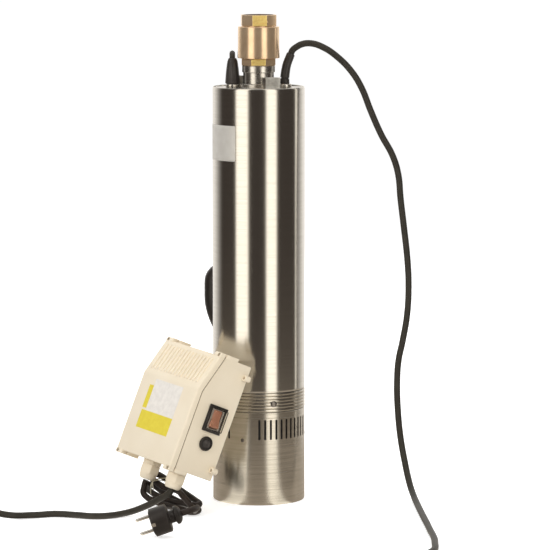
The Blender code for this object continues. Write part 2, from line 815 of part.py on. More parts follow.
def stator_winding():
    """Copper bars in the slots, joined by a winding head at each end."""
    inner = STATOR_BORE + SHROUD + WINDING_GAP
    outer = STATOR_SLOT_END - WINDING_GAP
    heads = ring("stator_winding", outer, inner, STATOR_TOP + WINDING_GAP,
                 STATOR_TOP + WINDING_HEAD, INNER_SIDES)
    join(heads, ring("lower_head", outer, inner, STATOR_BASE - WINDING_HEAD,
                     STATOR_BASE - WINDING_GAP, INNER_SIDES))
    half = STATOR_SLOT_WIDTH / 2 - WINDING_GAP
    reach = WINDING_HEAD / 2

    def bars(bm):
        for i in range(STATOR_SLOTS):
            block(bm, (inner + WINDING_GAP, -half, STATOR_BASE - reach),
                  (outer - WINDING_GAP, half, STATOR_TOP + reach),
                  Matrix.Rotation(math.tau * i / STATOR_SLOTS, 4, "Z"))

    return dress(join(heads, solid("bars", bars)), "copper")


def rotor_core():
    """Squirrel-cage rotor with its end rings."""
    radius = STATOR_BORE - AIR_GAP
    bore = ROTOR_SHAFT_RADIUS + FIT
    step = radius - ROTOR_RING / 2
    rotor = turned("rotor_core", [
        (step, STATOR_TOP + ROTOR_RING),
        (step, STATOR_TOP),
        (radius, STATOR_TOP),
        (radius, STATOR_BASE),
        (step, STATOR_BASE),
        (step, STATOR_BASE - ROTOR_RING),
        (bore, STATOR_BASE - ROTOR_RING),
        (bore, STATOR_TOP + ROTOR_RING),
    ], HIDDEN_SIDES)
    return dress(rotor, "brushed")


def bracket(side):
    """Lifting bracket: upright plate, foot, and two cheeks pierced for a rope."""
    near, far = BRACKET_NEAR, BRACKET_NEAR + BRACKET_WIDTH
    back, front = -BRACKET_BACK, -BRACKET_BACK - BRACKET_REACH
    low, high = HEAD_TOP - FIT, HEAD_TOP + BRACKET_HEIGHT
    floor = HEAD_TOP + BRACKET_PLATE
    turn = Matrix.Rotation(0 if side > 0 else math.pi, 4, "Z")
    made = solid("bracket", lambda bm: block(bm, (near, front, low), (far, back, high), turn))
    hollow = (near + BRACKET_CHEEK, front - FIT, floor)
    inner = (far - BRACKET_CHEEK, back - BRACKET_PLATE, high + FIT)
    cut(made, solid("hollow", lambda bm: block(bm, hollow, inner, turn)))
    across = Matrix.Rotation(math.pi / 2, 4, "Y")
    eye = Matrix.Translation((0, (front + back - BRACKET_PLATE) / 2, (floor + high) / 2))
    cut(made, solid("eye", lambda bm: rod(bm, EYE_HOLE / 2, near - FIT, far + FIT, turn @ eye @ across)))
    return made


def delivery_head():
    """Head in the top of the sleeve: plate, skirt with an O-ring groove, boss, ports and brackets."""
    groove_top = HEAD_TOP - O_RING_DROP + FIT
    groove_base = groove_top - O_RING - 2 * FIT
    groove = INSERT_RADIUS - O_RING
    skirt = HEAD_TOP - HEAD_PLATE - HEAD_SKIRT
    head = turned("delivery_head", [
        (BOSS_BORE, BOSS_TOP),
        (BOSS_RADIUS - CUP_SEAM, BOSS_TOP),
        (BOSS_RADIUS, HEAD_TOP),
        (INSERT_RADIUS, HEAD_TOP),
        (INSERT_RADIUS, groove_top),
        (groove, groove_top),
        (groove, groove_base),
        (INSERT_RADIUS, groove_base),
        (INSERT_RADIUS, skirt),
        (INSERT_RADIUS - SKIRT_WALL, skirt),
        (INSERT_RADIUS - SKIRT_WALL, HEAD_UNDER),
        (BOSS_BORE, HEAD_UNDER),
    ])
    for side in (1, -1):
        join(head, bracket(side))

    def ports(bm):
        for side in (-1, 1):
            rod(bm, PORT_RADIUS, HEAD_UNDER - HEAD_PLATE / 2, HEAD_TOP + HEAD_PLATE / 2,
                sides=INNER_SIDES, at=(side * PORT_X, PORT_Y))

    return dress(cut(head, solid("ports", ports)), "steel")


def sleeve_o_ring():
    """Round ring in the head's groove."""
    section = O_RING / 2
    middle = INSERT_RADIUS - section
    level = HEAD_TOP - O_RING_DROP - section
    profile = [(middle + section * math.cos(angle), level - section * math.sin(angle))
               for angle in (math.tau * (i + 0.5) / 6 for i in range(6))]
    return dress(turned("sleeve_o_ring", profile), "rubber")


def at_port(obj, side):
    """Move a turned piece onto a cable port."""
    obj.location.x = side * PORT_X
    obj.location.y = PORT_Y
    return obj


def port_gland(name, side, bore):
    """Flanged metal bush that brings a cable through the head."""
    gland = turned(name, [
        (PORT_FLANGE * 0.85, HEAD_TOP + FIT + PORT_FLANGE_HEIGHT),
        (PORT_FLANGE, HEAD_TOP + FIT + PORT_FLANGE_HEIGHT * 0.6),
        (PORT_FLANGE, HEAD_TOP + FIT),
        (PORT_RADIUS - FIT, HEAD_TOP + FIT),
        (PORT_RADIUS - FIT, HEAD_UNDER),
        (bore / 2, HEAD_UNDER),
        (bore / 2, HEAD_TOP + FIT + PORT_FLANGE_HEIGHT),
    ], HIDDEN_SIDES)
    return dress(at_port(gland, side), "brushed")


# Base of a cable boot, on the top of its gland
BOOT_BASE = HEAD_TOP + 2 * FIT + PORT_FLANGE_HEIGHT


def pump_cable_sleeve():
    """Rubber boot that leads the pump cable out of its gland, leaning outwards."""
    route = smooth_route(PUMP_BOOT_ROUTE, BOOT_RADIUS)
    return dress(tube("pump_cable_sleeve", route, 2 * BOOT_RADIUS, 4), "rubber")


def float_cable_sleeve():
    """Tapered rubber boot over the float cable's gland."""
    top = BOOT_BASE + FLOAT_BOOT_HEIGHT
    boot = turned("float_cable_sleeve", [
        (0, top),
        (FLOAT_BOOT_TIP - FIT, top),
        (FLOAT_BOOT_TIP, top - FLOAT_BOOT_TIP / 3),
        (FLOAT_BOOT_BASE, BOOT_BASE + FLOAT_BOOT_TIP),
        (FLOAT_BOOT_BASE, BOOT_BASE),
        (0, BOOT_BASE),
    ], INNER_SIDES)
    return dress(at_port(boot, -1), "rubber")


def discharge_nipple():
    """Outlet pipe piece: spigot in the boss, body, wider collar, threaded end for the valve."""
    nipple = turned("discharge_nipple", [
        (NIPPLE_BORE, THREAD_TOP),
        (THREAD_RADIUS, THREAD_TOP),
        (THREAD_RADIUS, COLLAR_TOP),
        (COLLAR_RADIUS, COLLAR_TOP),
        (COLLAR_RADIUS, COLLAR_BASE),
        (NIPPLE_RADIUS, COLLAR_BASE),
        (NIPPLE_RADIUS, NIPPLE_BASE),
        (BOSS_BORE - FIT, NIPPLE_BASE),
        (BOSS_BORE - FIT, HEAD_UNDER),
        (NIPPLE_BORE, HEAD_UNDER),
    ], INNER_SIDES)
    return dress(nipple, "steel")


def octagon(bm, flats, low, high, angle=0.0):
    """Add an octagonal prism of a given width across flats to a bmesh."""
    corner = flats / 2 / math.cos(math.pi / 8)
    rod(bm, corner, low, high, Matrix.Rotation(angle, 4, "Z"), sides=8)


def valve_seat_ring():
    """Octagon screwed on the nipple, with the valve seat on its spigot."""
    seat = solid("valve_seat_ring", lambda bm: octagon(bm, SEAT_FLATS, SEAT_BASE, SEAT_SHOULDER))
    join(seat, solid("spigot", lambda bm: rod(bm, SEAT_SPIGOT - FIT, SEAT_SHOULDER - FIT, SEAT_TOP,
                                              sides=INNER_SIDES)))
    thread = turned("bore", [
        (0, SEAT_TOP + FIT),
        (SEAT_BORE, SEAT_TOP + FIT),
        (SEAT_BORE, THREAD_TOP + FIT),
        (THREAD_RADIUS + FIT, THREAD_TOP + FIT),
        (THREAD_RADIUS + FIT, SEAT_BASE - FIT),
        (0, SEAT_BASE - FIT),
    ], INNER_SIDES)
    return dress(cut(seat, thread), "brass")


def valve_body():
    """Brass body with its chamber, octagonal outlet and the ribbed guide of the stem."""
    body = turned("valve_body", [
        (0, VALVE_TOP + FIT),
        (VALVE_RADIUS - VALVE_FLARE * 2, VALVE_TOP + FIT),
        (VALVE_RADIUS, VALVE_TOP - VALVE_FLARE),
        (VALVE_RADIUS, VALVE_BASE + TOP_HEIGHT / 3),
        (VALVE_RADIUS + VALVE_FLARE, VALVE_BASE + TOP_HEIGHT / 5),
        (VALVE_RADIUS - VALVE_FLARE, VALVE_BASE),
        (0, VALVE_BASE),
    ], INNER_SIDES)
    join(body, solid("outlet", lambda bm: octagon(bm, TOP_FLATS, OUTLET_BASE, OUTLET_TOP,
                                                 TOP_TURN + math.pi / 8)))
    neck = TOP_FLATS / 2 - TOP_NECK
    join(body, solid("neck", lambda bm: rod(bm, neck, VALVE_TOP - TOP_NECK, OUTLET_BASE + TOP_NECK,
                                            sides=INNER_SIDES)))
    way = turned("way", [
        (0, OUTLET_TOP + FIT),
        (TOP_BORE, OUTLET_TOP + FIT),
        (TOP_BORE, SPIDER_BASE + FIT),
        (CHAMBER_RADIUS, SPIDER_BASE - (CHAMBER_RADIUS - TOP_BORE)),
        (CHAMBER_RADIUS, VALVE_BASE - FIT),
        (0, VALVE_BASE - FIT),
    ], INNER_SIDES)
    cut(body, way)

    def spider(bm):
        rod(bm, SPIDER_HUB, SPIDER_BASE, VALVE_TOP, sides=INNER_SIDES)

    join(body, solid("hub", spider))
    for i in range(SPIDER_RIBS):
        turn = Matrix.Rotation(math.tau * i / SPIDER_RIBS, 4, "Z")
        reach = (SPIDER_HUB / 2, TOP_BORE + SPIDER_RIB / 4)
        join(body, solid(f"rib_{i}", lambda bm: block(
            bm, (reach[0], -SPIDER_RIB / 2, SPIDER_BASE + FIT),
            (reach[1], SPIDER_RIB / 2, VALVE_TOP - FIT), turn)))
    guide = STEM_RADIUS + FIT
    cut(body, solid("guide", lambda bm: rod(bm, guide, SPIDER_BASE - FIT, VALVE_TOP + FIT)))
    return dress(body, "brass")


def valve_poppet():
    """Poppet: boss through the seal, disc and guided stem."""
    stem_top = VALVE_TOP - STEM_TOP_DROP
    poppet = turned("valve_poppet", [
        (0, stem_top),
        (STEM_RADIUS, stem_top),
        (STEM_RADIUS, DISC_TOP + STEM_RADIUS),
        (STEM_RADIUS * 1.5, DISC_TOP),
        (POPPET_RADIUS - POPPET_DISC / 2, DISC_TOP),
        (POPPET_RADIUS, DISC_TOP - POPPET_DISC / 2),
        (POPPET_RADIUS, DISC_BASE),
        (POPPET_BOSS, DISC_BASE),
        (POPPET_BOSS, SEAT_TOP),
        (POPPET_BOSS - POPPET_DISC, SEAT_TOP - POPPET_DISC),
        (0, SEAT_TOP - POPPET_DISC),
    ], HIDDEN_SIDES)
    return dress(poppet, "white_plastic")


def poppet_seal():
    """Flat rubber ring between the poppet's disc and the seat."""
    base = SEAT_TOP + FIT
    seal = ring("poppet_seal", POPPET_SEAL_RADIUS, POPPET_BOSS + FIT, base, base + POPPET_SEAL, INNER_SIDES)
    return dress(seal, "rubber")


def valve_spring():
    """Closing spring between the poppet's disc and the guide."""
    low = DISC_TOP + FIT + SPRING_WIRE / 2
    high = SPIDER_BASE - FIT - SPRING_WIRE / 2
    steps = round(SPRING_TURNS * 8)
    route = []
    for i in range(steps + 1):
        angle = math.tau * i / 8
        level = low + (high - low) * i / steps
        route.append((SPRING_RADIUS * math.cos(angle), SPRING_RADIUS * math.sin(angle), level))
    return dress(tube("valve_spring", route, SPRING_WIRE, 1), "steel")


# The control box leans its back edge on the barrel
CONTACT = Vector((
    (BARREL_RADIUS + FIT) * math.cos(CONTACT_AZIMUTH),
    (BARREL_RADIUS + FIT) * math.sin(CONTACT_AZIMUTH),
    CONTACT_HEIGHT,
))
BOX_ORIGIN = CONTACT - BOX_TURN.to_matrix() @ Vector((CONTACT_ALONG, 0, BOX_HEIGHT))
BOX_MATRIX = Matrix.Translation(BOX_ORIGIN) @ BOX_TURN.to_matrix().to_4x4()
BOX_FRAME = bpy.data.objects.new("control_box_frame", None)
BOX_FRAME.location = BOX_ORIGIN
BOX_FRAME.rotation_euler = BOX_TURN
PARTS.objects.link(BOX_FRAME)


def in_box(obj, frame=None):
    """Parent a part and its cutters to the control box's frame."""
    obj.parent = frame or BOX_FRAME
    for step in obj.modifiers:
        if step.type == "BOOLEAN":
            in_box(step.object, frame)
    return obj


def box_front(back, low, high):
    """The box's front outline between two heights, set back square to its faces."""
    stretch = math.hypot(1, BOX_SLOPE)
    bend = BOX_RIDGE - back * (stretch - 1) / BOX_SLOPE
    lower = -BOX_DEPTH + back
    upper = -BOX_DEPTH + (high - BOX_RIDGE) * BOX_SLOPE + back * stretch
    return [(lower, low), (lower, bend), (upper, high)]


def box_slab(name, half_width, outline):
    """A solid across the box from an outline of (y, z) points."""
    turn = Matrix(((0, 0, 1, 0), (1, 0, 0, 0), (0, 1, 0, 0), (0, 0, 0, 1)))
    return plate(name, outline, 2 * half_width, turn=turn)


def rounded(obj, width, segments=2, angle=35):
    """Round a part's edges."""
    bevel = obj.modifiers.new("Round", "BEVEL")
    bevel.width = width
    bevel.segments = segments
    bevel.limit_method = "ANGLE"
    bevel.angle_limit = math.radians(angle)
    return obj


def corner_bosses(front_back, rear_back):
    """Four screw bosses, on the box's top and bottom edges, between two set-backs."""
    bosses = []
    for low, high in ((-BOSS_PROUD, BOX_WALL / 2), (BOX_HEIGHT - BOX_WALL / 2, BOX_HEIGHT + BOSS_PROUD)):
        corner = 2 if low > BOX_RIDGE else 0
        slope = (high - low) * BOX_SLOPE if low > BOX_RIDGE else 0
        rear = box_front(rear_back, low, high)[corner][0]
        front = box_front(front_back, low, high)[corner][0]
        outline = [(rear - slope, low), (front - slope, low), (front, high), (rear, high)]
        for side in (-1, 1):
            centre = side * (BOX_WIDTH - CORNER_BOSS) / 2
            boss = box_slab("boss", CORNER_BOSS / 2 - FIT, outline)
            boss.location.x = centre
            bosses.append(rounded(boss, BOX_ROUND / 2))
    return bosses


def box_base():
    """Back shell of the control box: walls, bosses, mounting ears, holes for what it carries."""
    seam = COVER_DEPTH + GASKET + FIT
    base = box_slab("box_base", BOX_WIDTH / 2, [(0, 0), *box_front(seam, 0, BOX_HEIGHT), (0, BOX_HEIGHT)])
    for boss in corner_bosses(seam, BOSS_LENGTH):
        join(base, boss)
    inner_low, inner_high = BOX_WALL, BOX_HEIGHT - BOX_WALL
    mouth = box_front(-BOX_WALL, inner_low, inner_high)
    cut(base, box_slab("inside", BOX_WIDTH / 2 - BOX_WALL,
                       [(-BOX_WALL, inner_low), *mouth, (-BOX_WALL, inner_high)]))
    along = Matrix.Rotation(math.pi / 2, 4, "X")
    for side in (-1, 1):
        for level in (EAR_LOW, EAR_HIGH):
            at = (side * (BOX_WIDTH / 2 + EAR_OFFSET), level)
            middle = Matrix.Translation((at[0], 0, at[1]))
            join(base, solid("ear", lambda bm: rod(bm, EAR_RADIUS, 0, EAR_LENGTH, middle @ along)))
            cut(base, solid("ear_hole", lambda bm: rod(bm, EAR_HOLE, -FIT, EAR_LENGTH + FIT,
                                                       middle @ along, sides=8)))
    side_wall = BOX_WIDTH / 2 - BOX_WALL
    cut(base, solid("switch_hole", lambda bm: block(
        bm, (side_wall - FIT, -SWITCH_DEPTH - SWITCH_BODY_WIDTH / 2 - FIT,
             SWITCH_LEVEL - SWITCH_BODY_HEIGHT / 2 - FIT),
        (BOX_WIDTH / 2 + FIT, -SWITCH_DEPTH + SWITCH_BODY_WIDTH / 2 + FIT,
         SWITCH_LEVEL + SWITCH_BODY_HEIGHT / 2 + FIT))))
    reset = box_side(RESET_DEPTH, RESET_LEVEL)
    cut(base, solid("reset_hole", lambda bm: rod(bm, RESET_CAP + BOX_WALL / 2 + FIT, -2 * BOX_WALL,
                                                 BOX_WALL, reset, sides=INNER_SIDES)))
    for x in GLAND_PLACES:
        cut(base, solid("gland_hole", lambda bm: rod(bm, GLAND_THREAD + FIT, -BOX_WALL, 2 * BOX_WALL,
                                                     at=(x, -GLAND_DEPTH))))
    return dress(in_box(base), "ivory")


def box_side(depth, level):
    """Frame on the outside of the box's right wall: Z points out of the wall."""
    turn = Matrix(((0, 0, 1), (0, 1, 0), (-1, 0, 0))).to_4x4()
    return Matrix.Translation((BOX_WIDTH / 2, -depth, level)) @ turn


def box_cover():
    """Front cover: rounded tray with its bend, bosses and the ribs on the slope."""
    front = box_front(0, 0, BOX_HEIGHT)
    back = box_front(COVER_DEPTH, 0, BOX_HEIGHT)
    cover = rounded(box_slab("box_cover", BOX_WIDTH / 2, front + back[::-1]), BOX_ROUND, angle=50)
    for boss in corner_bosses(0, COVER_DEPTH):
        join(cover, boss)
    low, high = BOX_WALL, BOX_HEIGHT - BOX_WALL
    inner = box_front(BOX_WALL, low, high) + box_front(COVER_DEPTH + BOX_WALL, low, high)[::-1]
    cut(cover, box_slab("inside", BOX_WIDTH / 2 - BOX_WALL, inner))
    rib_low, rib_high = BOX_RIDGE + RIB_MARGIN, BOX_HEIGHT - RIB_MARGIN
    outline = [front_point(-RIB_PROUD, rib_high), front_point(-RIB_PROUD, rib_low + RIB_MARGIN / 2),
               front_point(BOX_WALL / 2, rib_low), front_point(BOX_WALL / 2, rib_high)]
    for i in range(1, RIBS - 1):
        rib = box_slab("rib", RIB_WIDTH / 2, outline)
        rib.location.x = (i - (RIBS - 1) / 2) * RIB_PITCH
        join(cover, rib)
    return dress(in_box(cover), "ivory")


def front_point(back, height):
    """A point of the set-back sloping front at a height."""
    return box_front(back, 0, height)[2]


def cover_gasket():
    """Rubber frame between base and cover."""
    low, high = GASKET_INSET, BOX_HEIGHT - GASKET_INSET
    near, far = COVER_DEPTH + FIT, COVER_DEPTH + GASKET
    outline = box_front(near, low, high) + box_front(far, low, high)[::-1]
    gasket = box_slab("cover_gasket", BOX_WIDTH / 2 - GASKET_INSET, outline)
    low, high = BOX_WALL, BOX_HEIGHT - BOX_WALL
    inner = box_front(near - BOX_WALL, low, high) + box_front(far + BOX_WALL, low, high)[::-1]
    cut(gasket, box_slab("inside", BOX_WIDTH / 2 - BOX_WALL, inner))
    return dress(in_box(gasket), "rubber")


def switch_housing():
    """Rocker switch body through the side wall, with its bezel and window."""
    wall = BOX_WIDTH / 2
    face = wall + FIT + BEZEL_PLATE

    def part_of(depth, height, low, high):
        corner = (low, -SWITCH_DEPTH - depth / 2, SWITCH_LEVEL - height / 2)
        return lambda bm: block(bm, corner, (high, corner[1] + depth, corner[2] + height))

    housing = solid("switch_housing", part_of(BEZEL_WIDTH, BEZEL_HEIGHT, wall + FIT, face))
    rounded(housing, BEZEL_PLATE / 4, 1)
    body_end = wall - BOX_WALL - SWITCH_BODY_LENGTH
    join(housing, solid("body", part_of(SWITCH_BODY_WIDTH, SWITCH_BODY_HEIGHT, body_end, face - FIT)))
    window = (ROCKER_WIDTH + 2 * RUN_GAP, ROCKER_HEIGHT + 2 * RUN_GAP)
    cut(housing, solid("window", part_of(*window, face - 3 * ROCKER_RISE, face + FIT)))
    return dress(in_box(housing), "black_plastic")


# Pivot of the rocker, in the box's frame
ROCKER_PIVOT = Vector((BOX_WIDTH / 2 + FIT + BEZEL_PLATE - ROCKER_RISE, -SWITCH_DEPTH, SWITCH_LEVEL))


def switch_rocker():
    """Rocker with two sloping faces, tipped to one side on its pivot."""
    half = ROCKER_HEIGHT / 2
    shoulder = half - RUN_GAP
    rise = ROCKER_RISE + half * math.tan(ROCKER_TILT)
    outline = [(-ROCKER_RISE * 1.6, 0), (-ROCKER_RISE, half), (0, half), (rise, shoulder),
               (ROCKER_RISE, 0), (rise, -shoulder), (0, -half), (-ROCKER_RISE, -half)]
    turn = Matrix(((1, 0, 0, 0), (0, 0, -1, 0), (0, 1, 0, 0), (0, 0, 0, 1)))
    rocker = plate("switch_rocker", outline, ROCKER_WIDTH, turn=turn)
    rocker.data.transform(rocker.matrix_world)
    rocker.matrix_world = Matrix.Identity(4)
    rocker.location = ROCKER_PIVOT
    rocker.rotation_euler.y = -ROCKER_TILT
    return dress(in_box(rocker), "red_plastic")


def switch_boot():
    """Clear splash boot over the rocker, seated on the bezel."""
    face = BOX_WIDTH / 2 + 2 * FIT + BEZEL_PLATE

    def shell(inset, low, top):
        half = (SWITCH_BODY_WIDTH / 2 - inset, SWITCH_BODY_HEIGHT / 2 - inset)
        return lambda bm: block(bm, (low, -SWITCH_DEPTH - half[0], SWITCH_LEVEL - half[1]),
                                (top, -SWITCH_DEPTH + half[0], SWITCH_LEVEL + half[1]))

    boot = rounded(solid("switch_boot", shell(0, face, face + SWITCH_BOOT_HEIGHT)), SWITCH_BOOT_WALL)
    inside = solid("inside", shell(SWITCH_BOOT_WALL, face - 2 * SWITCH_BOOT_WALL,
                                   face + SWITCH_BOOT_HEIGHT - SWITCH_BOOT_WALL))
    return dress(in_box(cut(boot, inside)), "clear")


def overload_protector():
    """Thermal breaker inside the side wall, its neck and collar outside."""
    frame = box_side(RESET_DEPTH, RESET_LEVEL)
    inner = -BOX_WALL - FIT
    depth, width, height = BREAKER
    body = solid("overload_protector", lambda bm: block(
        bm, (-height / 2, -width / 2, inner - depth), (height / 2, width / 2, inner), frame))
    neck = RESET_CAP + BOX_WALL / 2
    join(body, solid("neck", lambda bm: rod(bm, neck, inner - FIT, FIT + RESET_COLLAR_HEIGHT / 2, frame,
                                            sides=INNER_SIDES)))
    join(body, solid("collar", lambda bm: rod(bm, RESET_COLLAR, FIT, FIT + RESET_COLLAR_HEIGHT, frame,
                                              sides=INNER_SIDES, tip=RESET_COLLAR - SHROUD / 2)))
    floor = -RESET_TRAVEL - 2 * FIT
    cut(body, solid("way", lambda bm: rod(bm, RESET_CAP + FIT, floor, 3 * RESET_PROUD, frame,
                                          sides=INNER_SIDES)))
    return dress(in_box(body), "black_plastic")


def reset_button():
    """Domed rubber-covered button in the breaker's collar."""
    base = -FIT
    dome = RESET_CAP / 4
    button = turned("reset_button", [
        (0, RESET_PROUD),
        (RESET_CAP / 2, RESET_PROUD - dome / 4),
        (RESET_CAP - dome / 2, RESET_PROUD - dome),
        (RESET_CAP, RESET_PROUD - 2 * dome),
        (RESET_CAP, base),
        (0, base),
    ], INNER_SIDES)
    button.matrix_world = box_side(RESET_DEPTH, RESET_LEVEL)
    return dress(in_box(button), "rubber")


def capacitor():
    """Run capacitor against the back wall, with two tabs on top."""
    x, low = CAPACITOR_AT
    y = -BOX_WALL - FIT - CAPACITOR_RADIUS
    can = turned("capacitor", [
        (0, low + CAPACITOR_LENGTH),
        (CAPACITOR_RADIUS - SHROUD, low + CAPACITOR_LENGTH),
        (CAPACITOR_RADIUS, low + CAPACITOR_LENGTH - SHROUD),
        (CAPACITOR_RADIUS, low),
        (0, low),
    ], INNER_SIDES)
    can.location = (x, y, 0)
    tab = CAPACITOR_RADIUS / 4
    for side in (-1, 1):
        middle = x + side * CAPACITOR_RADIUS / 2
        foot = (middle - tab, y - SHROUD / 2, low + CAPACITOR_LENGTH / 2)
        head = (middle + tab, y + SHROUD / 2, low + CAPACITOR_LENGTH + tab)
        join(can, solid("tab", lambda bm: block(bm, foot, head)))
    return dress(in_box(can), "white_plastic")


def terminal_block():
    """Row of screw terminals on the back wall, with a wire way for each."""
    x, low = TERMINAL_AT
    length, depth, height = TERMINALS
    back = -BOX_WALL - FIT
    strip = solid("terminal_block", lambda bm: block(bm, (x - length / 2, back - depth, low),
                                                     (x + length / 2, back, low + height)))
    ways = 6
    pitch = length / ways

    def wells(bm):
        for i in range(ways):
            left = x - length / 2 + pitch * (i + 0.2)
            block(bm, (left, back - depth - FIT, low + height / 3),
                  (left + pitch * 0.6, back - depth / 2, low + height + FIT))

    return dress(in_box(cut(strip, solid("wells", wells))), "white_plastic")


def gland_body(index):
    """Gland body: thread through the box's bottom, hexagon flange, stub in its nut."""
    at = (GLAND_PLACES[index], -GLAND_DEPTH)
    corner = GLAND_FLATS / 2 / math.cos(math.pi / 6)
    top, low = -FIT, -FIT - GLAND_FLANGE
    body = solid(f"gland_body_{index + 1}", lambda bm: rod(bm, corner, low, top, sides=6, at=at))
    join(body, solid("thread", lambda bm: rod(bm, GLAND_THREAD, low / 2, GLAND_THREAD_LENGTH, at=at)))
    join(body, solid("stub", lambda bm: rod(bm, GLAND_THREAD, low - GLAND_NUT / 2, low / 2 - FIT, at=at)))
    bore = CABLE / 2 + FIT
    cut(body, solid("way", lambda bm: rod(bm, bore, low - GLAND_NUT, 2 * GLAND_THREAD_LENGTH, at=at)))
    return dress(in_box(body), "ivory")


def gland_nut(index):
    """Gland nut: hexagon that rounds off towards the cable."""
    at = (GLAND_PLACES[index], -GLAND_DEPTH)
    corner = GLAND_FLATS / 2 / math.cos(math.pi / 6)
    top = -2 * FIT - GLAND_FLANGE
    tip = top - GLAND_NUT
    low = top - GLAND_NUT * 0.6
    nut = solid(f"gland_nut_{index + 1}", lambda bm: rod(bm, corner, low, top, sides=6, at=at))
    dome = turned("dome", [
        (0, top - GLAND_NUT * 0.5),
        (GLAND_FLATS / 2, top - GLAND_NUT * 0.5),
        (GLAND_FLATS / 2 - SHROUD / 2, top - GLAND_NUT * 0.8),
        (GLAND_FLATS / 2 - 2 * SHROUD, tip),
        (0, tip),
    ], HIDDEN_SIDES)
    dome.location = (*at, 0)
    join(nut, dome)
    stub = GLAND_THREAD + FIT
    cut(nut, solid("socket", lambda bm: rod(bm, stub, top - GLAND_NUT / 2 - FIT, top + FIT, at=at)))
    bore = CABLE / 2 + FIT
    cut(nut, solid("way", lambda bm: rod(bm, bore, tip - FIT, top, at=at)))
    return dress(in_box(nut), "ivory")


def gland_tip(index, beyond=0.0):
    """World place on a gland's axis, beyond the point just outside its nut where its cord starts."""
    level = -2 * FIT - GLAND_FLANGE - GLAND_NUT - CORD_GAP - beyond
    return BOX_MATRIX @ Vector((GLAND_PLACES[index], -GLAND_DEPTH, level))


# Cord routes, chosen by hand
PUMP_BOOT_ROUTE = [
    (PORT_X, PORT_Y, BOOT_BASE),
    (PORT_X + 0.0001, PORT_Y, BOOT_BASE + 0.0099),
    (PORT_X + 0.0027, PORT_Y, BOOT_BASE + 0.0256),
    (PORT_X + 0.0085, PORT_Y, BOOT_BASE + 0.0410),
]
PUMP_RUN_ROUTE = [
    (0.0446, 0.012, 0.6174), (0.0461, 0.012, 0.6212), (0.0518, 0.012, 0.6262),
    (0.0600, 0.012, 0.6303), (0.0720, 0.012, 0.6313),
    (0.0875, 0.013, 0.6265), (0.1090, 0.016, 0.6120), (0.1290, 0.019, 0.5910), (0.1425, 0.020, 0.5685),
    (0.1541, 0.020, 0.5393), (0.1690, 0.020, 0.5055), (0.1854, 0.020, 0.4752), (0.1930, 0.020, 0.4500),
    (0.1963, 0.020, 0.4168), (0.2010, 0.020, 0.3780), (0.2060, 0.020, 0.3340), (0.2080, 0.020, 0.2978),
    (0.2062, 0.020, 0.2550), (0.2000, 0.020, 0.2170), (0.1945, 0.020, 0.1900), (0.1926, 0.020, 0.1592),
    (0.1940, 0.020, 0.1180), (0.1978, 0.020, 0.0811), (0.2040, 0.012, 0.0460), (0.2095, -0.010, 0.0215),
    (0.2145, -0.040, 0.0085), (0.2175, -0.075, 0.0048), (0.2200, -0.130, 0.0047), (0.2261, -0.2532, 0.0047),
    (0.2290, -0.350, 0.0047), (0.2200, -0.415, 0.0047), (0.1900, -0.450, 0.0047), (0.1400, -0.460, 0.0047),
    (0.0000, -0.460, 0.0047), (-0.150, -0.460, 0.0047), (-0.300, -0.455, 0.0047), (-0.400, -0.435, 0.0047),
    (-0.452, -0.390, 0.0047), (-0.472, -0.345, 0.0047), (-0.4785, -0.3098, 0.0047),
]
PUMP_RETURN_ROUTE = [
    (-0.3796, -0.1940, 0.0047), (-0.3400, -0.1760, 0.0047), (-0.2996, -0.1559, 0.0047),
    (-0.2751, -0.1480, 0.0047), (-0.2461, -0.1560, 0.0047), (-0.2219, -0.1650, 0.0047),
    (-0.2031, -0.1620, 0.0047), (-0.1849, -0.1510, 0.0052), (-0.1680, -0.1400, 0.0075),
    (-0.1540, -0.1340, 0.0120), (-0.1430, -0.1315, 0.0168), (-0.1330, -0.1295, 0.0222),
    (-0.1255, -0.1280, 0.0260), gland_tip(1, CABLE / 2), gland_tip(1),
]
MAINS_LEAD_ROUTE = [
    gland_tip(0), gland_tip(0, MAINS_CORD / 2), (-0.1562, -0.0730, 0.0280), (-0.1555, -0.0755, 0.0215),
    (-0.1480, -0.0800, 0.0155),
    (-0.1340, -0.0870, 0.0125), (-0.1200, -0.0960, 0.0105), (-0.1085, -0.1080, 0.0100),
    (-0.0963, -0.1197, 0.0115),
]
HANK_ENDS = Vector((-0.146, -0.038, 0.0342)), Vector((-0.081, -0.112, 0.0108))
HANK_WIDTH = 0.024
HANK_THICKNESS = 0.017
TIE_PLACE = 0.028
MAINS_TAIL_ROUTE = [
    (-0.0823, -0.1245, 0.0090), (-0.0850, -0.1500, 0.0110), (-0.0845, -0.1750, 0.0155),
    (-0.0830, -0.2050, 0.0222), (-0.0810, -0.2350, 0.0285), (-0.0800, -0.2600, 0.0335),
    (-0.0825, -0.2790, 0.0360), (-0.0895, -0.2895, 0.0352),
]
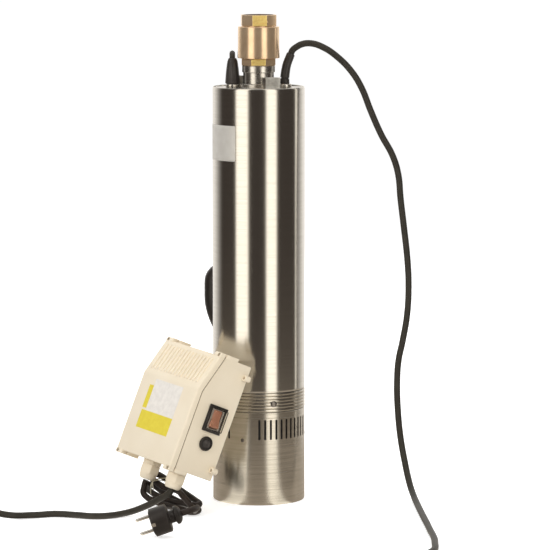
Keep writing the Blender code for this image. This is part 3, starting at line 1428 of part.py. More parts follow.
FLOAT_CABLE_ROUTE = [
    (-PORT_X, PORT_Y, BOOT_BASE + FLOAT_BOOT_HEIGHT + CORD_GAP),
    (-PORT_X, PORT_Y, BOOT_BASE + FLOAT_BOOT_HEIGHT + FLOAT_CABLE / 2), (-0.0340, 0.0160, 0.6160),
    (-0.0285, 0.0265, 0.6190), (-0.0220, 0.0400, 0.6105), (-0.0170, 0.0520, 0.5975),
    (-0.0130, 0.0635, 0.5835), (-0.0100, 0.0718, 0.5660), (-0.0060, 0.0738, 0.5400),
    (0.0040, 0.0735, 0.4900), (0.0150, 0.0735, 0.4300), (0.0240, 0.0735, 0.3700),
    (0.0300, 0.0735, 0.3100), (0.0340, 0.0740, 0.2550), (0.0360, 0.0750, 0.2100),
    (0.0340, 0.0770, 0.1750), (0.0220, 0.0790, 0.1490), (0.0000, 0.0810, 0.1360),
    (-0.0200, 0.0830, 0.1400), (-0.0330, 0.0850, 0.1580), (-0.0366, 0.0866, 0.1750),
]
FLOAT_NECK = Vector((-0.0370, 0.0870, 0.1980))
FLOAT_NECK_RADIUS = 0.0095
FLOAT_NECK_LENGTH = 0.012
FLOAT_LENGTH = 0.125
FLOAT_LOW_WIDTH = 0.030
FLOAT_HIGH_WIDTH = 0.0401
FLOAT_SHOULDER = 0.026
FLOAT_CORNER = 0.025
PLUG_FACE = Vector((-0.1387, -0.2920, 0.0190))
PLUG_AXIS = Vector((-0.945, 0, -0.325)).normalized()


def pump_cable():
    """Pump cable: the run from the head, its coil on the floor, and the return to the box."""
    spacing = 4 * CABLE
    dress(tube("pump_cable_run", smooth_route(PUMP_RUN_ROUTE, spacing), CABLE), "rubber")
    dress(tube("pump_cable_return", smooth_route(PUMP_RETURN_ROUTE, spacing), CABLE), "rubber")
    inner, outer = COIL_MEAN_RADIUS - COIL_WIDTH / 2, COIL_MEAN_RADIUS + COIL_WIDTH / 2
    edge = CABLE / 2
    coil = turned("pump_cable_coil", [
        (outer - edge, COIL_HEIGHT),
        (outer, COIL_HEIGHT - edge),
        (outer, edge),
        (outer - edge, 0),
        (inner + edge, 0),
        (inner, edge),
        (inner, COIL_HEIGHT - edge),
        (inner + edge, COIL_HEIGHT),
    ], INNER_SIDES)
    coil.location = (*COIL_CENTRE, 0)
    dress(coil, "rubber")


def arc(centre, radius, start, end, steps):
    """Points of an arc between two angles, both ends included."""
    return [(centre[0] + radius * math.cos(start + (end - start) * i / steps),
             centre[1] + radius * math.sin(start + (end - start) * i / steps)) for i in range(steps + 1)]


def mains_cord():
    """Mains cord: lead from its gland, folded hank with its tie, and tail to the plug."""
    spacing = 3 * MAINS_CORD
    dress(tube("mains_cord_lead", smooth_route(MAINS_LEAD_ROUTE, spacing), MAINS_CORD), "rubber")
    rear = PLUG_FACE - PLUG_AXIS * (PLUG_LENGTH + 2 * PLUG_FLANGE + CORD_GAP)
    tail = [*MAINS_TAIL_ROUTE, rear - PLUG_AXIS * MAINS_CORD / 2, rear]
    dress(tube("mains_cord_tail", smooth_route(tail, spacing), MAINS_CORD), "rubber")
    first, last = HANK_ENDS
    along = (last - first).normalized()
    side = Vector((0, 0, 1)).cross(along).normalized()
    frame = Matrix((along, side, along.cross(side))).transposed().to_4x4()
    frame.translation = first
    length = (last - first).length
    half = HANK_WIDTH / 2
    ends = arc((0, 0), half, math.pi / 2, math.pi * 1.5, 6)
    ends += arc((length, 0), half, -math.pi / 2, math.pi / 2, 6)
    hank = rounded(plate("mains_cord_hank", ends, HANK_THICKNESS, turn=frame), MAINS_CORD / 2.5, 1, 60)
    dress(hank, "rubber")
    wide, tall = half + FIT, HANK_THICKNESS / 2 + FIT

    def band(grow):
        low = (TIE_PLACE - TIE_WIDTH / 2, -wide - grow, -tall - grow)
        return lambda bm: block(bm, low, (low[0] + TIE_WIDTH, wide + grow, tall + grow))

    tie = solid("cord_tie", band(TIE_THICKNESS))
    inner = solid("inner", lambda bm: block(bm, (0, -wide, -tall), (2 * TIE_PLACE, wide, tall)))
    cut(tie, inner)
    for obj in (tie, inner):
        obj.matrix_world = frame
    dress(tie, "tie")


def float_switch():
    """Float: broad rounded body that narrows to the neck of its cable."""
    high = FLOAT_LENGTH - FLOAT_CORNER
    left = [
        (-FLOAT_NECK_RADIUS, 0),
        (-FLOAT_NECK_RADIUS, FLOAT_NECK_LENGTH),
        (-FLOAT_LOW_WIDTH, FLOAT_SHOULDER),
        (-FLOAT_HIGH_WIDTH, high),
    ]
    corner = arc((-FLOAT_HIGH_WIDTH + FLOAT_CORNER, high), FLOAT_CORNER, math.pi, math.pi / 2, 5)
    half = left + corner[1:]
    outline = half + [(-x, z) for x, z in half[::-1]]
    upright = Matrix.Translation(FLOAT_NECK) @ Matrix.Rotation(math.pi / 2, 4, "X")
    body = rounded(plate("float_switch", outline, FLOAT_THICKNESS, turn=upright), FLOAT_ROUND, 2, 60)
    dress(body, "black_plastic")
    neck = [FLOAT_NECK - Vector((0, 0, below)) for below in (FLOAT_CABLE, CORD_GAP)]
    route = [*FLOAT_CABLE_ROUTE, *neck]
    dress(tube("float_cable", smooth_route(route, 5 * FLOAT_CABLE), FLOAT_CABLE), "rubber")


def plug():
    """Round two-pin plug: body, neck and grip flange, and its pins."""
    up = Vector((0, 1, 0)).cross(PLUG_AXIS).normalized()
    frame = Matrix((up, Vector((0, 1, 0)), -PLUG_AXIS)).transposed().to_4x4()
    frame.translation = PLUG_FACE
    body_end = PLUG_LENGTH * 0.77
    neck = PLUG_RADIUS / 2
    rear = PLUG_LENGTH + PLUG_FLANGE
    body = turned("plug_body", [
        (0, rear + PLUG_FLANGE),
        (neck * 0.8, rear + PLUG_FLANGE),
        (neck * 1.3, rear + PLUG_FLANGE * 0.9),
        (neck * 1.3, rear),
        (neck, rear - FIT),
        (neck, body_end + neck / 2),
        (PLUG_RADIUS * 0.85, body_end),
        (PLUG_RADIUS, body_end - SHROUD),
        (PLUG_RADIUS, SHROUD / 2),
        (PLUG_RADIUS - SHROUD / 2, 0),
        (0, 0),
    ], HIDDEN_SIDES)
    body.matrix_world = frame
    sockets = []
    for name, sign in (("plug_pin_a", 1), ("plug_pin_b", -1)):
        at = (sign * PIN_SPACING / 2, 0)
        pin = turned(name, [
            (0, PIN_RADIUS),
            (PIN_RADIUS, PIN_RADIUS),
            (PIN_RADIUS, PIN_RADIUS - PIN_LENGTH),
            (PIN_RADIUS / 2, -PIN_LENGTH),
            (0, -PIN_LENGTH),
        ], SMALL_SIDES)
        pin.matrix_world = frame @ Matrix.Translation((*at, 0))
        dress(pin, "steel")
        socket = solid("pin_socket", lambda bm: rod(bm, PIN_RADIUS + FIT, -FIT, PIN_RADIUS + FIT, at=at))
        socket.matrix_world = frame
        sockets.append(socket)
    for socket in sockets:
        cut(body, socket)
    dress(body, "rubber")


# The assembly, from the barrel inwards, then the valve, the box and the cords
outer_sleeve()
intake_ring()
strainer_cup()
suction_plate()
for stage in range(STAGES):
    diffuser(stage)
    impeller(stage)
shaft_nut()
pump_shaft()
seal_housing()
mechanical_seal()
lower_motor_cover()
motor_can()
motor_top_cover()
bearing("lower_bearing", LOWER_BEARING_BASE)
bearing("upper_bearing", UPPER_BEARING_TOP - BEARING_WIDTH)
stator_core()
stator_winding()
rotor_core()
delivery_head()
sleeve_o_ring()
port_gland("pump_cable_gland", 1, CABLE + 2 * FIT)
port_gland("float_cable_gland", -1, FLOAT_CABLE + 2 * FIT)
pump_cable_sleeve()
float_cable_sleeve()
discharge_nipple()
valve_seat_ring()
valve_body()
valve_poppet()
poppet_seal()
valve_spring()
box_base()
box_cover()
cover_gasket()
switch_housing()
switch_rocker()
switch_boot()
overload_protector()
reset_button()
capacitor()
terminal_block()
for gland in range(len(GLAND_PLACES)):
    gland_body(gland)
    gland_nut(gland)
pump_cable()
mains_cord()
float_switch()
plug()
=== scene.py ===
import math

import bmesh
import bpy
from mathutils import Euler, Matrix, Vector


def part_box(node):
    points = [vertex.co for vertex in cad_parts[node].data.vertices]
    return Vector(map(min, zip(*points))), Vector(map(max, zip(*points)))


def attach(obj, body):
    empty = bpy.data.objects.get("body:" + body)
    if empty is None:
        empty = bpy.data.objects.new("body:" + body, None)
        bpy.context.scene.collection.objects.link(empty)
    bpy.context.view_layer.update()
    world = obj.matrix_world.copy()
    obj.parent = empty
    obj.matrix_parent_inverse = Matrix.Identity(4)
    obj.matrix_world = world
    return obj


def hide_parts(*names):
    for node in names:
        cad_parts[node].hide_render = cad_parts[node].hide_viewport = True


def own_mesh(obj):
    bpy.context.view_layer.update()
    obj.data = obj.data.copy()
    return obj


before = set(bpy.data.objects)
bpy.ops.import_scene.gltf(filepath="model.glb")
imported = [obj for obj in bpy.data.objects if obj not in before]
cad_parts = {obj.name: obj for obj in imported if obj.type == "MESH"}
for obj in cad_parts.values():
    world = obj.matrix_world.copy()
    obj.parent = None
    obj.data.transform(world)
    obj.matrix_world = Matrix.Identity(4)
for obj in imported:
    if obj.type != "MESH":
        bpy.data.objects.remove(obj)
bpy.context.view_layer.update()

scene = bpy.context.scene

# Viewpoint: a long lens a good four and a half metres in front of the pump, a little above
# its top, tipped down so that the rim of the strainer cup shows as a shallow curve.
SENSOR = 36.0
FOCAL_PIXELS = 3430
FRAME_PIXELS = 550
DIP = math.radians(6.6)
camera_data = bpy.data.cameras.new("viewpoint")
camera_data.sensor_width = SENSOR
camera_data.lens = FOCAL_PIXELS / FRAME_PIXELS * SENSOR
camera_data.clip_end = 100
camera = bpy.data.objects.new("viewpoint", camera_data)
camera.location = (0.0225, -4.71, 0.857)
camera.rotation_euler = (math.pi / 2 - DIP, 0, 0)
scene.collection.objects.link(camera)
scene.camera = camera
scene.view_settings.view_transform = "Standard"

# Studio: a white paper sweep that ends a little in front of the pump, a white wall behind,
# and a dark room in front with two tall softboxes and one narrow strip, which the steel mirrors.
PAPER_FRONT = -0.95
PAPER_BACK = 60.0
PAPER_HALF = 2.6
SOFTBOX_BEARINGS = ((-58.5, -26), (19, 46))
SOFTBOX_EDGE = 3.0
STRIP_BEARINGS = (105, 112)
STRIP_EDGE = 2.0
STRIP_SHARE = 0.75
WALL_BEARINGS = (100.0, 150.0)
CEILING_RISE = (0.35, 0.8)
CEILING_SHARE = 0.55
ROOM = (0.058, 0.047, 0.040)
SOFTBOX = (1.85, 1.74, 1.55)
WALL = (1.10, 1.06, 1.01)
CEILING = (0.80, 0.78, 0.75)
AMBIENT = (0.52, 0.52, 0.52)
WHITE = (1.0, 1.0, 1.0)
PAPER = (0.90, 0.90, 0.90, 1.0)
PAPER_LIFT = 0.56
PAPER_IN_STEEL = (0.50, 0.43, 0.35)
GLARE_IN_STEEL = (1.45, 1.36, 1.20)
NEAR_SHARE, NEAR_FALL, NEAR_MOST = 0.20, -1.9, 0.95


def shader_tree(owner):
    """Clear an owner's nodes and return its tree."""
    owner.use_nodes = True
    owner.node_tree.nodes.clear()
    return owner.node_tree


def feed(tree, socket, value):
    """Link a socket from another socket, or give it a number or a colour."""
    if isinstance(value, bpy.types.NodeSocket):
        tree.links.new(value, socket)
    elif socket.type == "RGBA":
        socket.default_value = (*value, 1.0)[:4]
    else:
        socket.default_value = value


def node(tree, kind, **values):
    """Add a node; each value is an input, a property or a socket to link from."""
    made = tree.nodes.new(kind)
    for key, value in values.items():
        name = key.replace("_", " ")
        target = made.inputs.get(name) or made.inputs.get(name.title())
        if hasattr(made, key) and target is None:
            setattr(made, key, value)
        else:
            feed(tree, target, value)
    return made


def reckon(tree, operation, first, second=0.0, third=0.0):
    """A maths node on sockets or numbers."""
    made = node(tree, "ShaderNodeMath", operation=operation)
    for socket, value in zip(made.inputs, (first, second, third)):
        feed(tree, socket, value)
    return made.outputs[0]


def blended(tree, factor, first, second):
    """Mix two colours by a factor."""
    made = node(tree, "ShaderNodeMix", data_type="RGBA")
    for index, value in ((0, factor), (6, first), (7, second)):
        feed(tree, made.inputs[index], value)
    return made.outputs[2]


def mixed(tree, factor, first, second):
    """Mix two shaders by a factor."""
    made = node(tree, "ShaderNodeMixShader", Fac=factor)
    tree.links.new(first.outputs[0], made.inputs[1])
    tree.links.new(second.outputs[0], made.inputs[2])
    return made


def band(tree, value, low, high, soft):
    """1 where a value lies between two limits, with soft edges."""
    rise, fall = (node(tree, "ShaderNodeMapRange", interpolation_type="SMOOTHSTEP", Value=value,
                       From_Min=limit - soft, From_Max=limit + soft).outputs[0] for limit in (low, high))
    return reckon(tree, "SUBTRACT", rise, fall)


def softbox_bands(tree, direction):
    """1 towards the two softboxes that show in the steel, the bearing in degrees and the height."""
    split = node(tree, "ShaderNodeSeparateXYZ", Vector=node(tree, "ShaderNodeTexCoord").outputs[direction])
    front = reckon(tree, "MULTIPLY", split.outputs[1], -1.0)
    bearing = reckon(tree, "MULTIPLY", reckon(tree, "ARCTAN2", split.outputs[0], front), 180 / math.pi)
    left, right = (band(tree, bearing, *limits, SOFTBOX_EDGE) for limits in SOFTBOX_BEARINGS)
    return reckon(tree, "ADD", left, right), bearing, split.outputs[2]


world = bpy.data.worlds.new("studio")
scene.world = world
tree = shader_tree(world)
boxes, degrees, rise = softbox_bands(tree, "Generated")
strip = reckon(tree, "MULTIPLY", band(tree, degrees, *STRIP_BEARINGS, STRIP_EDGE), STRIP_SHARE)
wall = node(tree, "ShaderNodeMapRange", interpolation_type="SMOOTHSTEP",
            Value=reckon(tree, "ABSOLUTE", degrees), From_Min=WALL_BEARINGS[0], From_Max=WALL_BEARINGS[1])
ceiling = node(tree, "ShaderNodeMapRange", Value=rise, From_Min=CEILING_RISE[0], From_Max=CEILING_RISE[1],
               To_Max=CEILING_SHARE)
mirrored = blended(tree, reckon(tree, "ADD", boxes, strip), ROOM, SOFTBOX)
mirrored = blended(tree, wall.outputs[0], mirrored, WALL)
mirrored = blended(tree, ceiling.outputs[0], mirrored, CEILING)
ray = node(tree, "ShaderNodeLightPath")
shiny = reckon(tree, "MAXIMUM", ray.outputs["Is Glossy Ray"], ray.outputs["Is Transmission Ray"])
seen = blended(tree, shiny, AMBIENT, mirrored)
seen = blended(tree, ray.outputs["Is Camera Ray"], seen, WHITE)
background = node(tree, "ShaderNodeBackground", Color=seen)
node(tree, "ShaderNodeOutputWorld", Surface=background.outputs[0])

bm = bmesh.new()
bmesh.ops.create_grid(bm, x_segments=1, y_segments=1, size=0.5)
bmesh.ops.scale(bm, vec=(2 * PAPER_HALF, PAPER_BACK - PAPER_FRONT, 1), verts=bm.verts)
bmesh.ops.translate(bm, vec=(0, (PAPER_FRONT + PAPER_BACK) / 2, 0), verts=bm.verts)
paper_mesh = bpy.data.meshes.new("paper")
bm.to_mesh(paper_mesh)
bm.free()
paper = bpy.data.objects.new("paper", paper_mesh)
scene.collection.objects.link(paper)
paper_material = bpy.data.materials.new("studio paper")
tree = shader_tree(paper_material)
ray = node(tree, "ShaderNodeLightPath")
lit = node(tree, "ShaderNodeBsdfDiffuse", Color=PAPER)
lifted = reckon(tree, "MULTIPLY", ray.outputs["Is Camera Ray"], PAPER_LIFT)
lift = node(tree, "ShaderNodeEmission", Strength=lifted)
shown = node(tree, "ShaderNodeAddShader")
for socket, shader in zip(shown.inputs, (lit, lift)):
    tree.links.new(shader.outputs[0], socket)
# Painted reflection: glossy rays see the paper glow, though it is no lamp. It shows PAPER_IN_STEEL and,
# towards the softboxes, their glare GLARE_IN_STEEL, as the steel should mirror them. The polish node is this
# painted glow. It is strongest close to the pump and fades with the ray's length, and past that the paper
# lets glossy rays through to the world.
glare = softbox_bands(tree, "Object")[0]
polish = node(tree, "ShaderNodeEmission", Color=blended(tree, glare, PAPER_IN_STEEL, GLARE_IN_STEEL))
near = reckon(tree, "MULTIPLY", reckon(tree, "POWER", ray.outputs["Ray Length"], NEAR_FALL), NEAR_SHARE)
through = node(tree, "ShaderNodeBsdfTransparent")
faint = mixed(tree, reckon(tree, "MINIMUM", near, NEAR_MOST), through, polish)
paper_with_painted_glow = mixed(tree, ray.outputs["Is Glossy Ray"], shown, faint)
node(tree, "ShaderNodeOutputMaterial", Surface=paper_with_painted_glow.outputs[0])
paper.data.materials.append(paper_material)


def softbox(name, at, towards, size, energy, colour=WHITE):
    """A square soft lamp that lights the pump but isn't seen in its polish."""
    data = bpy.data.lights.new(name, "AREA")
    data.size = size
    data.energy = energy
    data.color = colour
    lamp = bpy.data.objects.new(name, data)
    lamp.location = at
    lamp.rotation_euler = (Vector(towards) - Vector(at)).to_track_quat("-Z", "Y").to_euler()
    lamp.visible_glossy = False
    lamp.visible_camera = False
    scene.collection.objects.link(lamp)


softbox("left softbox", (-1.9, -2.1, 1.5), (0, 0, 0.25), 1.3, 34)
softbox("right softbox", (1.7, -2.3, 1.3), (0, 0, 0.25), 1.2, 19, (1.0, 0.94, 0.83))
softbox("top softbox", (0.0, 0.4, 2.6), (0, 0, 0.2), 1.6, 24)
softbox("rear softbox", (0.4, 2.6, 1.6), (0, 0, 0.3), 1.6, 16)


# Pump cable: round rubber-sheathed cable that rises out of its boot, falls down the right side
# and runs along the floor to a coil. Its other end comes back from the coil to the box.
def wear_group():
    """Node group: colour and roughness that vary over a surface, with a fine bump."""
    group = bpy.data.node_groups.new("surface variation", "ShaderNodeTree")
    sockets = {"INPUT": (("Colour", "Color"), ("Second Colour", "Color"), ("Patch Scale", "Float"),
                         ("Grain Scale", "Float"), ("Roughness", "Float"), ("Roughness Spread", "Float"),
                         ("Bump", "Float"), ("Stretch", "Vector")),
               "OUTPUT": (("Colour", "Color"), ("Roughness", "Float"), ("Normal", "Vector"))}
    for side, kinds in sockets.items():
        for title, kind in kinds:
            group.interface.new_socket(title, in_out=side, socket_type="NodeSocket" + kind)
    given = group.nodes.new("NodeGroupInput").outputs
    place = node(group, "ShaderNodeTexCoord")
    warp = node(group, "ShaderNodeMapping", Vector=place.outputs["Object"], Scale=given["Stretch"])
    patch = node(group, "ShaderNodeTexNoise", Vector=warp.outputs[0], Scale=given["Patch Scale"], Detail=4.0)
    grain = node(group, "ShaderNodeTexNoise", Vector=warp.outputs[0], Scale=given["Grain Scale"], Detail=2.0)
    spread = node(group, "ShaderNodeMapRange", Value=patch.outputs["Fac"], From_Min=0.35, From_Max=0.65)
    colour = blended(group, spread.outputs[0], given["Colour"], given["Second Colour"])
    uneven = reckon(group, "SUBTRACT", patch.outputs["Fac"], 0.5)
    rough = reckon(group, "MULTIPLY_ADD", uneven, given["Roughness Spread"], given["Roughness"])
    bump = node(group, "ShaderNodeBump", Strength=given["Bump"], Distance=0.0002, Height=grain.outputs["Fac"])
    out = group.nodes.new("NodeGroupOutput")
    for socket, value in zip(out.inputs, (colour, rough, bump.outputs[0])):
        group.links.new(value, socket)
    return group


VARIATION = wear_group()


def finish(name, colour, second=None, roughness=0.5, spread=0.15, patch=60.0, grain=1200.0, bump=0.15,
           stretch=(1, 1, 1), **plain):
    """A material of the given colours with the shared variation and plain shader values."""
    made = bpy.data.materials.new(name)
    tree = shader_tree(made)
    vary = node(tree, "ShaderNodeGroup", node_tree=VARIATION)
    values = {"Colour": colour, "Second Colour": second or colour, "Patch Scale": patch, "Grain Scale": grain,
              "Roughness": roughness, "Roughness Spread": spread, "Bump": bump, "Stretch": stretch}
    for title, value in values.items():
        feed(tree, vary.inputs[title], value)
    shader = tree.nodes.new("ShaderNodeBsdfPrincipled")
    for title, out in (("Base Color", "Colour"), ("Roughness", "Roughness"), ("Normal", "Normal")):
        tree.links.new(vary.outputs[out], shader.inputs[title])
    for key, value in plain.items():
        shader.inputs[key.replace("_", " ").title().replace("Ior", "IOR")].default_value = value
    node(tree, "ShaderNodeOutputMaterial", Surface=shader.outputs[0])
    return made


def link(name, data, body="pump_set"):
    """Put a new piece in the scene on a body."""
    made = bpy.data.objects.new(name, data)
    scene.collection.objects.link(made)
    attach(made, body)
    return made


def cord_curve(name, route, diameter, material):
    """A round cord on one smooth open spline through the route's points."""
    curve = bpy.data.curves.new(name, "CURVE")
    curve.dimensions = "3D"
    curve.resolution_u = 6
    curve.bevel_depth = diameter / 2
    curve.bevel_resolution = 4
    curve.use_fill_caps = True
    spline = curve.splines.new("BEZIER")
    spline.bezier_points.add(len(route) - 1)
    for point, at in zip(spline.bezier_points, route):
        point.co = at
        point.handle_left_type = point.handle_right_type = "AUTO"
    curve.materials.append(material)
    made = link(name, curve)
    return made


CABLE_RUBBER = finish("dark green-black cable sheath", (0.022, 0.019, 0.014), (0.031, 0.027, 0.020),
                      roughness=0.50, bump=0.25, grain=900.0, specular_ior_level=0.40)
CABLE = 0.009
LYING = 0.0047
COIL_CENTRE = Vector((-0.490, -0.200, 0))
COIL_RADIUS = 0.1055
COIL_BEARING = math.radians(-102.7)
COIL_TURN = math.radians(360 * 22 + 232.5)
COIL_LAYERS = 4
COIL_PITCH = 0.0091
COIL_SPREAD = 1.01
COIL_CLIMB = 1.2
COIL_STEPS = 20
PUMP_RUN = [
    (0.0446, 0.012, 0.6174), (0.0461, 0.012, 0.6212), (0.0518, 0.012, 0.6262),
    (0.0600, 0.012, 0.6303), (0.0720, 0.012, 0.6313),
    (0.0875, 0.013, 0.6265), (0.1090, 0.016, 0.6120), (0.1290, 0.019, 0.5910), (0.1425, 0.020, 0.5685),
    (0.1541, 0.020, 0.5393), (0.1690, 0.020, 0.5055), (0.1854, 0.020, 0.4752), (0.1930, 0.020, 0.4500),
    (0.1963, 0.020, 0.4168), (0.2010, 0.020, 0.3780), (0.2060, 0.020, 0.3340), (0.2080, 0.020, 0.2978),
    (0.2062, 0.020, 0.2550), (0.2000, 0.020, 0.2170), (0.1945, 0.020, 0.1900), (0.1926, 0.020, 0.1592),
    (0.1940, 0.020, 0.1180), (0.1978, 0.020, 0.0811), (0.2040, 0.012, 0.0460), (0.2095, -0.010, 0.0215),
    (0.2145, -0.040, 0.0085), (0.2175, -0.075, 0.0048), (0.2200, -0.130, 0.0047), (0.2261, -0.2532, 0.0047),
    (0.2290, -0.350, 0.0047), (0.2200, -0.415, 0.0047), (0.1900, -0.450, 0.0047), (0.1400, -0.460, 0.0047),
    (0.0000, -0.460, 0.0047), (-0.150, -0.460, 0.0047), (-0.300, -0.455, 0.0047), (-0.400, -0.435, 0.0047),
    (-0.4520, -0.398, 0.0047), (-0.4740, -0.3517, 0.0047), (-0.4785, -0.3310, 0.0047),
    (-0.4925, -0.3130, 0.0047),
]
PUMP_RETURN = [
    (-0.3845, -0.1690, 0.0305), (-0.3725, -0.1768, 0.0230), (-0.3570, -0.1797, 0.0150),
    (-0.3400, -0.1760, 0.0090), (-0.2996, -0.1559, 0.0047), (-0.2751, -0.1480, 0.0047),
    (-0.2461, -0.1560, 0.0047), (-0.2219, -0.1650, 0.0047), (-0.2031, -0.1620, 0.0047),
    (-0.1849, -0.1510, 0.0052), (-0.1680, -0.1400, 0.0075), (-0.1540, -0.1340, 0.0120),
    (-0.1430, -0.1315, 0.0168), (-0.1330, -0.1295, 0.0222), (-0.1255, -0.1280, 0.0260),
    (-0.1198, -0.1259, 0.0305), (-0.11779, -0.12439, 0.03398),
]


def coil_turns():
    """Points round the coil, clockwise: in and out again through its layers."""
    steps = round(COIL_TURN / math.tau * COIL_STEPS)
    per_layer = COIL_TURN / COIL_LAYERS
    points = []
    for step in range(steps + 1):
        turned = COIL_TURN * step / steps
        layer = min(int(turned / per_layer), COIL_LAYERS - 1)
        within = turned - layer * per_layer
        inward = within if layer % 2 == 0 else per_layer - within
        radius = COIL_RADIUS - CABLE * COIL_SPREAD * inward / math.tau
        rise = min(1.0, within / COIL_CLIMB) + layer - 1 if layer else 0
        angle = COIL_BEARING - turned
        points.append(COIL_CENTRE + Vector((radius * math.cos(angle), radius * math.sin(angle),
                                            LYING + COIL_PITCH * rise)))
    return points


pump_cable = cord_curve("pump_cable", PUMP_RUN + coil_turns() + PUMP_RETURN, CABLE, CABLE_RUBBER)
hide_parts("pump_cable_run", "pump_cable_coil", "pump_cable_return")

# Float switch: a hollow pear-shaped shell of black plastic, moulded in two halves that are welded
# round the middle, on a ribbed neck that grips its cable. The cable hangs behind the barrel.
FLOAT_CABLE = 0.008
FLOAT_ROUTE = [
    (-0.036, 0.012, 0.6049), (-0.0361, 0.0126, 0.6089), (-0.0363, 0.0175, 0.6150),
    (-0.0364, 0.0285, 0.6165), (-0.0366, 0.0415, 0.6075), (-0.0367, 0.0530, 0.5930),
    (-0.0364, 0.0615, 0.5760), (-0.0345, 0.0662, 0.5560), (-0.0270, 0.0705, 0.5300),
    (-0.0100, 0.0740, 0.4900), (0.0080, 0.0745, 0.4400), (0.0220, 0.0735, 0.3750),
    (0.0300, 0.0735, 0.3100), (0.0340, 0.0740, 0.2550), (0.0360, 0.0750, 0.2100),
    (0.0340, 0.0770, 0.1750), (0.0220, 0.0790, 0.1490), (0.0000, 0.0810, 0.1360),
    (-0.0200, 0.0830, 0.1400), (-0.0330, 0.0850, 0.1580), (-0.0366, 0.0866, 0.1750),
    (-0.0370, 0.0870, 0.1900), (-0.0370, 0.0870, 0.1977),
]
float_cable = cord_curve("float_cable_sheath", FLOAT_ROUTE, FLOAT_CABLE, CABLE_RUBBER)
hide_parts("float_cable")


def finished(name, bm, material, body="pump_set", sharp=35, merge=1e-6):
    """Close a bmesh's seams, point its faces outwards and put it in the scene as a piece."""
    bmesh.ops.remove_doubles(bm, verts=bm.verts, dist=merge)
    bmesh.ops.recalc_face_normals(bm, faces=bm.faces)
    mesh = bpy.data.meshes.new(name)
    bm.to_mesh(mesh)
    bm.free()
    mesh.shade_smooth()
    mesh.set_sharp_from_angle(angle=math.radians(sharp))
    mesh.materials.append(material)
    made = link(name, mesh, body)
    return made


def spun(profile, steps=96, at=Matrix.Identity(4), closed=False, bm=None):
    """Turn a (radius, height) profile about the placed Z axis, in a new bmesh or a given one."""
    bm = bm or bmesh.new()
    before = set(bm.verts)
    verts = [bm.verts.new((radius, 0, height)) for radius, height in profile]
    edges = [bm.edges.new(pair) for pair in zip(verts, verts[1:])]
    if closed:
        edges.append(bm.edges.new((verts[-1], verts[0])))
    bmesh.ops.spin(bm, geom=verts + edges, cent=(0, 0, 0), axis=(0, 0, 1), dvec=(0, 0, 0),
                   angle=math.tau, steps=steps, use_merge=True, use_duplicate=False)
    bmesh.ops.remove_doubles(bm, verts=[v for v in bm.verts if v not in before], dist=1e-7)
    bmesh.ops.transform(bm, matrix=at, verts=[v for v in bm.verts if v not in before])
    return bm


def skinned(bm, rings):
    """Skin a line of vertex rings and close both ends."""
    loops = [list({edge for vert in ring for edge in vert.link_edges}) for ring in rings]
    for below, above in zip(loops, loops[1:]):
        bmesh.ops.bridge_loops(bm, edges=below + above)
    for end in (loops[0], loops[-1]):
        bmesh.ops.edgeloop_fill(bm, edges=end)


def squared(value, power):
    """Push a cosine or sine outwards, towards a square with round corners."""
    return math.copysign(abs(value) ** power, value)


BLACK_MOULDING = finish("black moulded plastic", (0.015, 0.012, 0.010), (0.022, 0.017, 0.014), roughness=0.38,
                        bump=0.12, specular_ior_level=0.38)
FLOAT_FOOT = Vector((-0.0370, 0.0870, 0.1980))
FLOAT_RISE = (0.012, 0.125)
FLOAT_THROAT = (0.0105, 0.0100)
FLOAT_WIDEST = (0.0400, 0.0203)
FLOAT_TIP = 0.0008
FLOAT_LEVELS = 22
FLOAT_SIDES = 40
bm = bmesh.new()
rings = []
for step in range(FLOAT_LEVELS + 1):
    t = step / FLOAT_LEVELS
    swell = math.sin(min(1.0, (t + 0.06) / 0.62) * math.pi / 2) ** 0.8
    shoulder = math.sqrt(max(0.0, 1 - max(0.0, (t - 0.70) / 0.30) ** 2.6))
    half, thick = (max(FLOAT_TIP, (slim + (wide - slim) * swell) * shoulder)
                   for slim, wide in zip(FLOAT_THROAT, FLOAT_WIDEST))
    ring = bmesh.ops.create_circle(bm, segments=FLOAT_SIDES, radius=1.0)["verts"]
    for vert in ring:
        vert.co = FLOAT_FOOT + Vector((half * squared(vert.co.x, 0.7), thick * squared(vert.co.y, 0.7),
                                       FLOAT_RISE[0] + (FLOAT_RISE[1] - FLOAT_RISE[0]) * t))
    rings.append(ring)
skinned(bm, rings)
neck = [(0.0, 0.0), (0.0062, 0.0), (0.0072, 0.0012)]
for rib in range(3):
    neck += [(0.0086, 0.0024 + rib * 0.003), (0.0086, 0.0038 + rib * 0.003), (0.0074, 0.0044 + rib * 0.003)]
neck += [(0.0105, 0.0135), (0.0, 0.0135)]
spun(neck, 40, Matrix.Translation(FLOAT_FOOT), bm=bm)
float_body = finished("float_body", bm, BLACK_MOULDING, merge=1e-5)
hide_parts("float_switch")

# Mains cord: it leaves the box, runs round to a hank of folded loops that a twisted wire holds,
# and ends in a round two-pin plug that rests on the floor.
CORD_RUBBER = finish("brown-black cord sheath", (0.013, 0.008, 0.006), (0.019, 0.012, 0.009), roughness=0.48,
                     bump=0.25, grain=900.0, specular_ior_level=0.38)
MAINS_CORD = 0.0085
HANK_START = Vector((-0.146, -0.038, 0.0342))
HANK_ALONG = (Vector((-0.0825, -0.140, 0.0096)) - HANK_START).normalized()
HANK_SIDE = Vector((0, 0, 1)).cross(HANK_ALONG).normalized()
HANK_UP = HANK_ALONG.cross(HANK_SIDE)


def hank_point(along, aside, up):
    """A place in the hank's own directions, from its upper end."""
    return HANK_START + HANK_ALONG * along + HANK_SIDE * aside + HANK_UP * up


